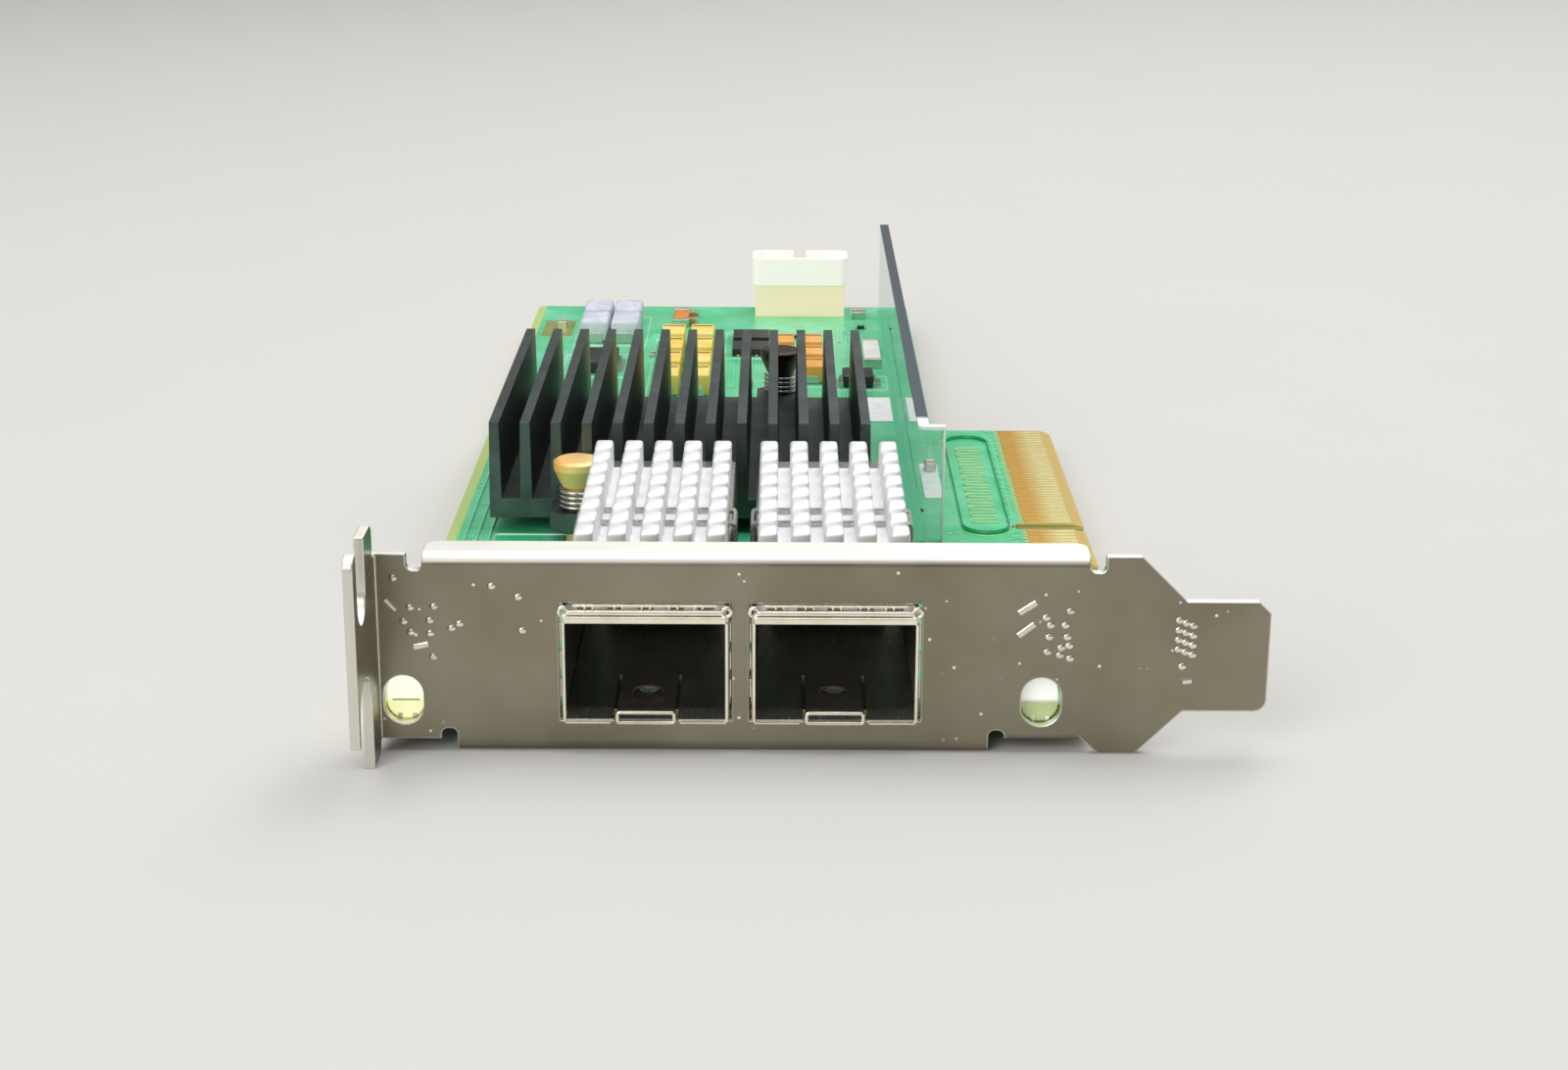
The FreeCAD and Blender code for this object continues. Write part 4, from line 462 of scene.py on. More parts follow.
def satin_nickel_plate():
    """Folded steel with satin nickel plate: dull warm grey faces, bright edges that are partly wear and
    partly a painted highlight, a painted highlight on every face that looks up, and flecks.
    """
    material, add, places = new_finish("satin_nickel_plated_steel")
    cloud = add("TexNoise", Vector=places, Scale=1 / (9.0 * MM), Detail=2.0)
    fine = add("TexNoise", Vector=places, Scale=1 / (0.35 * MM), Detail=4.0)
    # Dust and plating nodules a quarter of a millimetre across, in loose drifts.
    nodule = add("TexVoronoi", {"feature": "F1"}, Vector=places, Scale=1 / (1.7 * MM), Randomness=1.0)
    spot = add("MapRange", Value=nodule, From_Min=0.06, From_Max=0.11, **FALLING)
    drift = add("TexNoise", Vector=places, Scale=1 / (8.0 * MM), Detail=1.0)
    gathered = add("MapRange", Value=drift, From_Min=0.50, From_Max=0.57)
    fleck = add("Math", PRODUCT, spot, gathered)
    # Where the rolled normal leaves the flat one there is an edge; it is painted bright, partly for wear
    # of the plate and partly as a painted highlight on the bends.
    rolled = add("Bevel", {"samples": 8}, Radius=0.26 * MM)
    flat = add("NewGeometry").outputs["Normal"]
    turn = add("VectorMath", {"operation": "DOT_PRODUCT"}, rolled, flat)
    edge_wear_and_highlight = add("MapRange", Value=turn, From_Min=0.90, From_Max=0.995, **FALLING)
    # Every face that looks up is painted nearly white, a painted highlight from the light overhead.
    upward = add("SeparateXYZ", Vector=rolled).outputs["Z"]
    top_highlight = add("MapRange", Value=upward, From_Min=0.25, From_Max=0.7)
    # The sheared edges of the flange, in front of the plate, are bare and pale.
    where = add("SeparateXYZ", Vector=places).outputs["Y"]
    ahead = add("Math", LESS, where, PLATE_FACE - 1.5 * MM)
    facing = add("SeparateXYZ", Vector=flat).outputs["Y"]
    sheared = add("MapRange", Value=facing, From_Min=-0.75, From_Max=-0.6, To_Min=0.65, To_Max=0.0)
    bare = add("Math", PRODUCT, ahead, sheared)
    marked = add("Math", LARGER, bare, fleck)
    wear_flecks_and_highlight = add("Math", LARGER, edge_wear_and_highlight, marked)
    bright = add("Math", LARGER, wear_flecks_and_highlight, top_highlight)
    plain = add("ValToRGB", Fac=cloud, stops=((0.3, "#88826F"), (0.7, "#9A9482")))
    colour = add("Mix", OF_COLOURS, Factor=bright, A=plain, B="#FCFAF2")
    rough_map = add("MapRange", Value=cloud, From_Min=0.3, From_Max=0.7, To_Min=0.28, To_Max=0.36)
    dulled = add("Math", {"operation": "MULTIPLY_ADD"}, top_highlight, 0.28, rough_map)
    raised = add("Bump", Height=fine, Distance=0.004 * MM, Strength=0.5, Normal=rolled)
    surface = add("BsdfPrincipled", Base_Color=colour, Metallic=1.0, Roughness=dulled, Normal=raised)
    add("OutputMaterial", Surface=surface)
    return material


def solder_mask_on_laminate():
    """Green solder mask, glossy over faint copper, with bare yellow laminate at the cut edges."""
    material, add, places = new_finish("green_solder_mask_on_glass_laminate")
    cloud = add("TexNoise", Vector=places, Scale=1 / (6.0 * MM), Detail=3.0)
    mask = add("ValToRGB", Fac=cloud, stops=((0.3, "#36C57F"), (0.55, "#4CD999"), (0.8, "#86EBC0")))
    # Copper under the mask: buses of lines that change direction from patch to patch.
    patch = add(
        "TexVoronoi", {"feature": "F1", "distance": "CHEBYCHEV"}, Vector=places,
        Scale=1 / (7.0 * MM), Randomness=0.8,
    ).outputs["Color"]
    choice = add("SeparateColor", Color=patch).outputs
    # The wave node runs through 20 radians for each unit of its scale.
    pitch = 0.5 * MM
    lines = []
    for direction in ("X", "Y"):
        band = add(
            "TexWave", {"bands_direction": direction}, Vector=places,
            Scale=1 / (20 * pitch) * math.pi * 2, Distortion=0.0,
        ).outputs["Fac"]
        lines.append(add("MapRange", Value=band, From_Min=0.55, From_Max=0.7))
    along = add("Math", {"operation": "GREATER_THAN"}, choice["Red"], 0.5)
    laid = add("Mix", Factor=along, A=lines[0], B=lines[1])
    present = add("Math", {"operation": "GREATER_THAN"}, choice["Green"], 0.55)
    copper = add("Math", PRODUCT, laid, present)
    shown = add("Math", PRODUCT, copper, 0.55)
    coated = add("Mix", OF_COLOURS, Factor=shown, A=mask, B="#7FE0B4")
    # The mask stops short of the left edge and of the edge contacts.
    where = add("SeparateXYZ", Vector=places).outputs
    edge = BOARD_LOW.x + 1.0 * MM
    left = add("MapRange", Value=where["X"], From_Min=edge, From_Max=edge + 0.2 * MM, **FALLING)
    trimmed = add("Mix", OF_COLOURS, Factor=left, A=coated, B="#C3DF7E")
    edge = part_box("edge_contacts")[0].x - 0.5 * MM
    right = add("MapRange", Value=where["X"], From_Min=edge, From_Max=edge + 0.1 * MM)
    tabbed = add("Mix", OF_COLOURS, Factor=right, A=trimmed, B="#DDB74E")
    # It lies in shade under the cages.
    across = []
    for side in SIDES:
        low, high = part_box("cage_shell_" + side)
        middle = (low.x + high.x) / 2
        across.append(add("Math", {"operation": "COMPARE"}, where["X"], middle, (high.x - low.x) / 2))
    under = add("Math", LARGER, across[0], across[1])
    dark = add("Math", PRODUCT, under, add("Math", LESS, where["Y"], high.y))
    shaded = add("Mix", OF_COLOURS, Factor=dark, A=tabbed, B="#123524")
    # The cut edges show the layers of glass cloth.
    facing = add("NewGeometry").outputs["True Normal"]
    upright = add("SeparateXYZ", Vector=facing).outputs["Z"]
    flat = add("Math", {"operation": "ABSOLUTE"}, upright)
    cut = add("MapRange", Value=flat, From_Min=0.3, From_Max=0.6, **FALLING)
    layers = add(
        "TexWave", {"bands_direction": "Z"}, Vector=places, Scale=1 / (1.2 * MM), Distortion=0.6
    ).outputs["Fac"]
    cloth = add("ValToRGB", Fac=layers, stops=((0.2, "#B7B25A"), (0.8, "#DCD88A")))
    colour = add("Mix", OF_COLOURS, Factor=cut, A=shaded, B=cloth)
    rough_map = add("MapRange", Value=cut, To_Min=0.3, To_Max=0.75)
    raised = add("Bump", Height=copper, Distance=0.02 * MM, Strength=0.5)
    surface = add(
        "BsdfPrincipled", Base_Color=colour, Roughness=rough_map, IOR=1.55, Normal=raised,
        Coat_Weight=0.35, Coat_Roughness=0.12,
    )
    add("OutputMaterial", Surface=surface)
    return material


def clear_polycarbonate():
    """Smoke polycarbonate sheet: clear faces, a dark slate line along the top, pale at the top front
    corner as a painted highlight and pale along the outer skin.
    """
    material, add, places = new_finish("smoke_polycarbonate_sheet")
    low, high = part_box("edge_guard")
    where = add("SeparateXYZ", Vector=places).outputs
    steps = []
    for axis, start, end in (
        ("Z", high.z - 0.35 * MM, high.z - 0.3 * MM), ("Y", low.y + 3.5 * MM, low.y + 4.5 * MM),
        ("X", high.x - 0.25 * MM, high.x - 0.2 * MM),
    ):
        steps.append(add("MapRange", Value=where[axis], From_Min=start, From_Max=end))
    top, behind, lip_end = steps
    # The top is dark slate behind its first few millimetres.
    slate_top_band = add("Math", PRODUCT, top, behind)
    before = add("Math", {"operation": "SUBTRACT"}, 1.0, behind)
    # Pale at the top front corner, a painted highlight, and along the outer skin of the sheet.
    pale = add("Math", LARGER, add("Math", PRODUCT, top, before), lip_end)
    fine = add("TexNoise", Vector=places, Scale=1 / (3.0 * MM), Detail=2.0)
    raised = add("Bump", Height=fine, Distance=0.01 * MM, Strength=0.5)
    slate = add("BsdfPrincipled", Base_Color="#3F4A57", Roughness=0.35, IOR=1.58, Normal=raised)
    pale_shader = add("BsdfPrincipled", Base_Color="#EEF2F0", Roughness=0.5, IOR=1.58)
    gloss = add(
        "BsdfPrincipled", Base_Color="#F1F4F4", Roughness=0.05, IOR=1.58, Transmission_Weight=1.0
    )
    open_face = add("BsdfTransparent", Color="#F2F6F5")
    clear = add("MixShader", None, 0.08, open_face, gloss)
    ends = add("MixShader", None, pale, clear, pale_shader)
    add("OutputMaterial", Surface=add("MixShader", None, slate_top_band, ends, slate))
    return material


# ---------- settings


def length_setting(name, description, default):
    """A setting that is a length, given in millimetres."""
    return bpy.props.FloatProperty(
        name=name, description=description, default=default * MM, unit="LENGTH", precision=5
    )


def colour_setting(name, description, default):
    """A setting that is a colour, given as six-figure sRGB."""
    return bpy.props.FloatVectorProperty(
        name=name, description=description, subtype="COLOR", size=4, default=linear(default), min=0.0,
        max=1.0,
    )


class CardSizes(bpy.types.PropertyGroup):
    """Sizes of the fine pieces"""

    trace_width: length_setting("Trace width", "Width of the copper traces", 0.24)
    trace_height: length_setting("Trace height", "How far a trace lifts the solder mask", 0.06)
    ink_width: length_setting("Ink line", "Width of the printed lines", 0.2)
    coil_turns: bpy.props.FloatProperty(
        name="Coil turns", description="Turns of the push pin springs", default=3.5
    )
    coil_wire: length_setting("Coil wire", "Wire diameter of the push pin springs", 0.42)
    pin_rounding: length_setting("Pin rounding", "Rounding of the heat sink pins", 0.34)


class CardColours(bpy.types.PropertyGroup):
    """Colours that a user may change"""

    floor: colour_setting("Floor", "Colour of the floor and backdrop", "#D9D7D2")
    trace: colour_setting("Trace", "Solder mask over a trace", "#8DEBC0")
    ink: colour_setting("Ink", "Printed lines on the board", "#F3F6F0")


# ---------- stage and bracket


def floor_mesh(material):
    """A floor that curves up into a backdrop, in metres."""
    bend = 0.4
    half = 1.6
    profile = [(-1.2, 0.0), (0.9, 0.0)]
    for step in range(1, 12):
        angle = step * math.pi / 24
        profile.append((0.9 + bend * math.sin(angle), bend - bend * math.cos(angle)))
    profile += [(1.3, bend), (1.3, 1.6)]
    mesh = bpy.data.meshes.new("floor")
    points = [(side * half, y, z) for y, z in profile for side in (-1, 1)]
    faces = [(2 * i, 2 * i + 1, 2 * i + 3, 2 * i + 2) for i in range(len(profile) - 1)]
    mesh.from_pydata(points, [], faces)
    mesh.polygons.foreach_set("use_smooth", [True] * len(mesh.polygons))
    mesh.materials.append(material)
    return mesh


class CARD_OT_stage(bpy.types.Operator):
    """Floor, backdrop, soft lights and the camera"""

    bl_idname = "card.stage"
    bl_label = "Stage"

    def execute(self, context):
        scene = context.scene
        scene.view_settings.view_transform = "Standard"
        # Matt painted board: pale, with hardly any shine.
        material, add, places = new_finish("pale_matt_floor")
        fine = add("TexNoise", Vector=places, Scale=1 / (25.0 * MM))
        amount = add("MapRange", Value=fine, To_Max=0.06)
        paint_tone = tuple(scene.card_colours.floor)
        colour = add("Mix", OF_COLOURS, Factor=amount, A=paint_tone, B="#FFFFFF")
        surface = add("BsdfPrincipled", Base_Color=colour, Roughness=0.9, Specular_IOR_Level=0.2)
        add("OutputMaterial", Surface=surface)
        floor = add_object("floor", floor_mesh(material))
        world = bpy.data.worlds.new("soft_room")
        world.use_nodes = True
        world.node_tree.nodes.clear()
        glow = add_node(world.node_tree, "Background", Color="#F4F5F7", Strength=0.28)
        add_node(world.node_tree, "OutputWorld", Surface=glow)
        scene.world = world
        for name, place, size, power in (
            ("overhead_softbox", (0.05, 0.05, 0.70), 0.8, 4.0),
            ("front_softbox", (-0.45, -0.75, 0.45), 0.7, 4.0),
            ("rear_softbox", (0.30, 0.60, 0.50), 0.6, 1.3),
        ):
            light = bpy.data.lights.new(name, "AREA")
            light.shape = "DISK"
            light.size = size
            light.energy = power
            lamp = add_object(name, light)
            lamp.location = place
            lamp.rotation_euler = (-Vector(place)).to_track_quat("-Z", "Y").to_euler()
        # The camera stands ahead of the bracket and looks down on the card.
        view = bpy.data.cameras.new("camera")
        view.sensor_width = 36.0
        view.lens = 60.32
        view.clip_start = 0.01
        camera = add_object("camera", view)
        tilt = Matrix.Rotation(math.radians(90 - 17.534), 4, "X")
        swing = Matrix.Rotation(math.radians(-0.146), 4, "Z")
        roll = Matrix.Rotation(math.radians(0.302), 4, "Z")
        stand = Matrix.Translation((-3.674 * MM, -293.858 * MM, 88.9 * MM))
        camera.matrix_world = stand @ swing @ tilt @ roll
        scene.camera = camera
        return {"FINISHED"}


# Middles of the plain round marks on the plate, X and Z, then the two ends of each plain dash.
MARKS = (
    (59.5, 12.8), (61.6, 13.4), (59.9, 12.1), (61.2, 12.1), (59.8, 11.0), (61.4, 11.0), (61.6, 10.2),
    (60.9, 10.0), (59.7, 9.6), (60.8, 9.3), (61.7, 9.0), (3.8, 13.5), (5.9, 13.6), (3.2, 12.2),
    (5.5, 12.3), (3.8, 11.2), (5.5, 11.1), (5.7, 8.9), (7.4, 11.6), (8.1, 12.0), (2.4, 16.2),
    (11.0, 15.5), (13.3, 14.5), (13.6, 11.4),
)
DASHES = (
    (57.1, 13.2, 58.6, 14.2), (57.1, 11.1, 58.5, 12.2), (1.6, 14.2, 2.5, 13.2), (71.7, 6.9, 72.5, 7.0),
    (4.0, 9.8, 5.3, 10.1),
)


class CARD_OT_bracket(bpy.types.Operator):
    """Nickel plate on the bracket, its screws and the plain marks stamped in it"""

    bl_idname = "card.bracket"
    bl_label = "Bracket"

    def execute(self, context):
        paint(satin_nickel_plate(), "bracket")
        # Zinc plate: a cooler, smoother grey than the nickel.
        paint(metal("zinc_plated_screw_steel", "#A8A9A8", "#C6C7C6", 0.3, edge=0.12), "bracket_screws")
        # Where the tool struck, the plate is polished almost white.
        struck = metal("burnished_nickel", "#DDD7C6", "#F6F2E6", 0.2, lump=0.4)
        pips = list(MARKS)
        pips += [(71.2 + 0.62 * c, 9.9 + 0.9 * r - 0.25 * c) for c in range(3) for r in range(4)]
        pips.append((71.6, 8.3))
        drop = bmesh.new()
        bmesh.ops.create_icosphere(drop, subdivisions=2, radius=1.0)
        for vertex in drop.verts:
            vertex.co = Vector((vertex.co.x * 0.4, vertex.co.y * 0.12, vertex.co.z * 0.34)) * MM
        for facet in drop.faces:
            facet.smooth = True
        scatter("stamped_pips", as_mesh("pip", drop), struck, [at(x, 0.0, z) for x, z in pips])
        # The dashes lie sunk, so that only their crowns stand out of the plate.
        depth = 0.44
        paths = [[at(x0, depth, z0), at(x1, depth, z1)] for x0, z0, x1, z1 in DASHES]
        lay_wire("stamped_dashes", paths, struck, radius=0.55, corner=0.0)
        return {"FINISHED"}


# ---------- board


# Outlines printed round groups of parts, each as left, front, right and rear.
PRINTED_FRAMES = (
    (5.6, 49.6, 16.4, 52.4), (7.2, 101.8, 15.4, 109.2), (16.6, 99.4, 33.6, 107.2),
    (33.8, 99.0, 46.6, 104.6), (7.4, 139.6, 17.4, 157.6), (18.8, 110.2, 27.8, 143.6),
    (34.4, 117.0, 43.0, 139.6), (28.6, 132.6, 35.4, 147.6), (42.6, 115.4, 50.2, 122.8),
    (7.0, 121.6, 17.2, 134.2), (52.8, 12.0, 63.2, 24.0), (52.8, 30.0, 57.0, 42.0),
)
# Free parts of the board as left, front, right and rear, and the vias in each.
VIA_FIELDS = (
    (1.8, 14.0, 4.4, 140.0, 60), (6.0, 14.0, 15.6, 48.0, 50), (7.6, 108.0, 18.0, 138.0, 50),
    (28.6, 106.0, 43.5, 118.0, 40), (44.0, 104.0, 49.8, 150.0, 46), (52.8, 44.0, 56.0, 94.0, 40),
    (60.9, 46.0, 62.3, 94.0, 26), (52.0, 14.0, 62.0, 42.0, 44), (18.0, 144.0, 31.0, 162.0, 40),
    (36.0, 142.0, 49.0, 156.0, 40), (52.6, 98.0, 54.2, 160.0, 24),
)


def left_traces():
    """A bus along the left edge that steps in behind the heat sink, and one that turns to it."""
    paths = []
    for k in range(3):
        x = 2.5 + 1.3 * k
        step = 4.0 - 0.2 * k
        paths.append(board_path(
            (x, 13.5 + k), (x, 98.0 + step), (x + 1.6, 99.6 + step), (x + 1.6, 138.0 - k)
        ))
    for k in range(9):
        x = 6.0 + 0.3 * k
        y = 20.0 + 0.6 * k
        paths.append(board_path((x, 48.5 - 0.4 * k), (x, y + 9), (x + 3.0, y + 6), (12.0, y + 6)))
    return paths


def contact_traces():
    """Each edge contact's own trace, in pairs that bend toward the controller."""
    contacts = [(low + high) / 2 for low, high in solids_of("edge_contacts") if high.z > BOARD_TOP]
    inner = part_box("edge_contacts")[0].x
    paths = []
    for index, middle in enumerate(contacts):
        start = Vector((inner, middle.y, BOARD_TOP))
        bend = Vector((inner - 0.7 * MM, middle.y, BOARD_TOP))
        reach = (0.5 + 0.45 * (index % 3)) * MM
        paths.append([start, bend, bend + Vector((-reach, reach if index % 2 else -reach, 0))])
    return paths


def rear_traces():
    """Buses over the free board behind the heat sink and between the power parts."""
    paths = []
    for k in range(7):
        paths.append(board_path((44.0 + 0.5 * k, 104.0), (44.0 + 0.5 * k, 152.0 - k)))
    for k in range(8):
        x = 28.4 + 0.55 * k
        paths.append(board_path((x, 107.6 + 0.3 * k), (x, 116.0), (x - 1.2, 117.2), (x - 1.2, 131.0)))
    for k in range(5):
        y = 144.6 + 0.55 * k
        paths.append(board_path((18.0, y), (27.0, y), (28.2, y + 1.2), (43.0, y + 1.2)))
    for k in range(5):
        x = 53.0 + 0.5 * k
        paths.append(board_path((x, 14.0), (x, 38.0 + k), (x + 1.0, 39.0 + k), (x + 1.0, 50.0)))
    for k in range(6):
        paths.append(board_path((47.0 + 0.5 * k, 49.0 - 0.3 * k), (47.0 + 0.5 * k, 54.0)))
    return paths


def oval(half_width, half_length):
    """An obround outline on the board, round the middle of the shielded trace."""
    points = []
    for sense, first in ((1, 0), (-1, 180)):
        for step in range(9):
            angle = math.radians(first + step * 22.5)
            end = 72.6 + sense * (half_length - half_width)
            points.append((58.6 + half_width * math.cos(angle), end + half_width * math.sin(angle)))
    return board_path(*points)


def meander():
    """A trace folded back and forth to length inside the oval."""
    points = []
    for k in range(26):
        left, right = (57.2, 60.0) if k % 2 else (60.0, 57.2)
        points += [(left, 57.2 + 1.2 * k), (right, 57.2 + 1.2 * k)]
    return board_path(*points)


def printed_frames():
    """The corners of each printed outline."""
    return [
        board_path((left, front), (right, front), (right, rear), (left, rear))
        for left, front, right, rear in PRINTED_FRAMES
    ]


def vias(finish):
    """Rings over the free parts of the board, always the same ones."""
    draw = random.Random(7)
    places = []
    for left, front, right, rear, count in VIA_FIELDS:
        for _ in range(count):
            places.append(on_board(draw.uniform(left, right), draw.uniform(front, rear)))
    hoop = bmesh.new()
    bmesh.ops.create_circle(hoop, segments=10, radius=0.3 * MM)
    bmesh.ops.create_circle(hoop, segments=10, radius=0.15 * MM)
    bmesh.ops.bridge_loops(hoop, edges=hoop.edges)
    for vertex in hoop.verts:
        vertex.co.z += 0.03 * MM
    scatter("via_rings", as_mesh("via", hoop), finish, places)


def solder_underside():
    """Solder cones round the pins that come through the board."""
    # Bright tin-silver solder: a clean mirror with a slight grey frost.
    solder = metal("tin_silver_solder", "#B5B7B3", "#D6D8D3", 0.22, lump=0.5)
    tall = 0.45
    tails = [(x, y) for x, y, _ in feet_of(solids_of("rear_header_pins"))]
    for side in SIDES:
        low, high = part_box("cage_shell_" + side)
        for wall in (low.x + 0.5 * MM, high.x - 0.5 * MM):
            tails += [(wall, PLATE_FACE + y * MM) for y in (12.0, 23.0, 34.0)]
    places = [(x, y, BOARD_LOW.z - tall / 2 * MM) for x, y in tails]
    scatter("solder_cones", cone_mesh("cone", 12, 0.38, 0.75, tall), solder, places)


class CARD_OT_board(bpy.types.Operator):
    """Solder mask, edge contacts, traces, vias, printed lines and blank labels"""

    bl_idname = "card.board"
    bl_label = "Board"

    def execute(self, context):
        sizes = context.scene.card_sizes
        colours = context.scene.card_colours
        paint(solder_mask_on_laminate(), "circuit_board")
        # Hard gold over nickel: orange where the fingers rubbed, pale and bright at the tip.
        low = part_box("edge_contacts")[0]
        gold = graded(
            "hard_gold_contact_plating", "#F0C05C", "#FFF7B8", low.x + 1.4 * MM, low.x + 3.4 * MM, 0.3,
            axis="X", metallic=1.0,
        )
        paint(gold, "edge_contacts")
        # The mask rides over each trace and thins there, so it reads as a paler line.
        film = tinted("solder_mask_over_trace", tuple(colours.trace), 0.3)
        bus = tinted("solder_mask_over_bus", "#B4F0D6", 0.3)
        # Thick mask in the trough round the shielded trace, so a deeper green.
        trough = tinted("solder_mask_in_trough", "#16A860", 0.3)
        # Yellower mask over the shield, where it lies thin on bright copper.
        pale = tinted("solder_mask_over_shield", "#C9F2B8", 0.3)
        # Epoxy ink: matt white lines round the parts.
        ink = tinted("white_epoxy_ink", tuple(colours.ink), 0.6)
        strips = strip_tree()
        for name, paths, closed, width, corner, finish in (
            ("left_edge_traces", left_traces(), False, 0.6 * MM, 0.4, bus),
            ("contact_traces", contact_traces(), False, sizes.trace_width, 0.4, film),
            ("rear_traces", rear_traces(), False, sizes.trace_width, 0.4, film),
            ("shield_ring_trace", [oval(2.55, 19.4)], True, 0.9 * MM, 0.4, trough),
            ("shield_border_trace", [oval(3.15, 20.1)], True, 0.22 * MM, 0.4, pale),
            ("shield_meander_trace", [meander()], False, 0.5 * MM, 0.4, pale),
            ("printed_frames", printed_frames(), True, sizes.ink_width, 0.3, ink),
        ):
            grow(
                name, strips, path_mesh(name, paths, closed), Width=width, Height=sizes.trace_height,
                Corner=corner * MM, Finish=finish,
            )
        # Vias tented over with mask, a little paler than the mask round them.
        vias(tinted("solder_mask_over_vias", "#A9E9C9", 0.3))
        # Plain uncoated paper: two labels behind the heat sink and one beside the shielded trace.
        paper = plastic("plain_white_label_paper", "#F2F2EE", "#FFFFFC", 0.8, lump=0.15, depth=0.006)
        labels = []
        for left, front, right, rear in (
            (46.7, 99.6, 50.3, 111.4), (52.3, 99.6, 54.3, 111.4), (52.5, 66.5, 54.6, 80.5),
        ):
            labels.append((on_board(left, front), on_board(right, rear) + up(LABEL)))
        add_blocks("blank_labels", labels, paper)
        add_blocks("printed_block", [(on_board(17.2, 100.0), on_board(33.0, 106.6) + up(LABEL / 2))], ink)
        # A thin film in board green under the guard's foot, painted light laid over the shade that falls
        # there.
        low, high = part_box("edge_guard")
        foot_film = tinted("board_green_foot_film", "#58CE9C", 0.25)
        near = Vector((low.x - 0.1 * MM, low.y + 0.5 * MM, BOARD_TOP))
        far = Vector((low.x + 1.3 * MM, high.y, BOARD_TOP + LABEL / 2 * MM))
        add_blocks("guard_adhesive", [(near, far)], foot_film)
        # A bare pad for a chassis ground, tinned and dull yellow-green from flux.
        ground = metal("flux_stained_tin_pad", "#B8C878", "#D9E49C", 0.4, lump=0.8)
        pad = (on_board(2.4, 145.0), on_board(6.7, 155.0) + up(LABEL))
        add_blocks("ground_pad", [pad], ground, 0.03 * MM)
        solder_underside()
        return {"FINISHED"}


# ---------- cages


# The collar of a port about its middle: left, right, front, rear, foot, top, rounding, segments.
COLLAR = (
    # The band round the cage: its roof and its two walls.
    (-7.33, 7.33, 1.9, 4.6, 13.32, 13.44, 0.03, 2), (-7.45, -7.33, 1.9, 4.6, 3.7, 13.32, 0.03, 2),
    (7.33, 7.45, 1.9, 4.6, 3.7, 13.32, 0.03, 2),
    # The rolled hem round the opening.
    (-7.15, 7.15, -0.95, -0.5, 12.34, 13.02, 0.16, 3), (-6.9, 6.9, -0.85, -0.3, 13.06, 13.54, 0.18, 3),
    (-7.3, -7.0, -0.75, -0.48, 3.1, 12.4, 0.1, 2), (7.0, 7.3, -0.75, -0.48, 3.1, 12.4, 0.1, 2),
    (-7.1, -3.1, -0.8, -0.52, 2.98, 3.16, 0.06, 2), (3.0, 7.1, -0.8, -0.52, 2.98, 3.16, 0.06, 2),
)


def collar_mesh(name, middle):
    """The band round the cage, its rolled hem in the opening and its sprung fingers."""
    rows = list(COLLAR)
    # Five fingers on the roof, in two leaves each, and three on each wall.
    for k in range(5):
        start = (k - 2) * 2.65 - 0.85
        rows.append((start, start + 1.7, 0.1, 0.9, 13.72, 13.88, 0.06, 2))
        rows.append((start + 0.1, start + 1.6, 0.9, 1.95, 13.5, 13.66, 0.05, 2))
    for start in (-7.55, 7.4):
        for foot in (5.2, 7.8, 10.4):
            rows.append((start, start + 0.15, 0.1, 0.9, foot, foot + 1.7, 0.05, 2))
    work = bmesh.new()
    for left, right, front, rear, foot, top, rounding, segments in rows:
        low = at(middle + left, front, foot)
        add_block(work, low, at(middle + right, rear, top), rounding * MM, segments)
    return as_mesh(name, work)


def collar_tips(middle):
    """Finger tips along the top of the opening, and the post on each side of a tip."""
    paths = [[at(middle - 6.3, -0.35, 13.85), at(middle + 6.3, -0.35, 13.85)]]
    for tip in (-4.9, -2.3, 0.1, 2.5, 4.7):
        for x in (middle + tip - 0.35, middle + tip + 0.35):
            paths.append([at(x, -0.4, 13.6), at(x, -0.4, 13.86)])
    return paths


def latch_arch(middle):
    """The arch of the latch deep in the port."""
    arch = []
    for step in range(9):
        angle = math.radians(180 - step * 22.5)
        arch.append(at(middle + 1.4 * math.cos(angle), 4.2, 4.0 + 0.75 * math.sin(angle)))
    return [arch]


def collar_rings(middle):
    """The rolled corners of the hem and the outlined tongue at the foot of the opening."""
    rings = []
    count = 14
    for x in (-7.15, 7.15):
        ring = []
        for step in range(count):
            angle = math.radians(step * 360 / count)
            ring.append(at(middle + x + 0.4 * math.cos(angle), -0.6, 13.4 + 0.4 * math.sin(angle)))
        rings.append(ring)
    corners = ((-2.5, 3.1), (2.5, 3.1), (2.5, 4.05), (-2.5, 4.05))
    rings.append([at(middle + x, -0.75, z) for x, z in corners])
    return rings


def port_contacts(side, gold):
    """Two rows of contacts in the mouth of the connector."""
    low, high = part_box("host_connector_" + side)
    places = []
    for k in range(10):
        x = (low.x + high.x) / 2 + (k - 4.5) * 0.8 * MM
        for height in (2.72, 3.8):
            places.append((x, low.y + 1.6 * MM, BOARD_TOP + height * MM))
    half = Vector((0.15, 1.2, 0.1)) * MM
    scatter("port_contacts_" + side, blocks_mesh("contact", [(-half, half)], 0.04 * MM), gold, places)


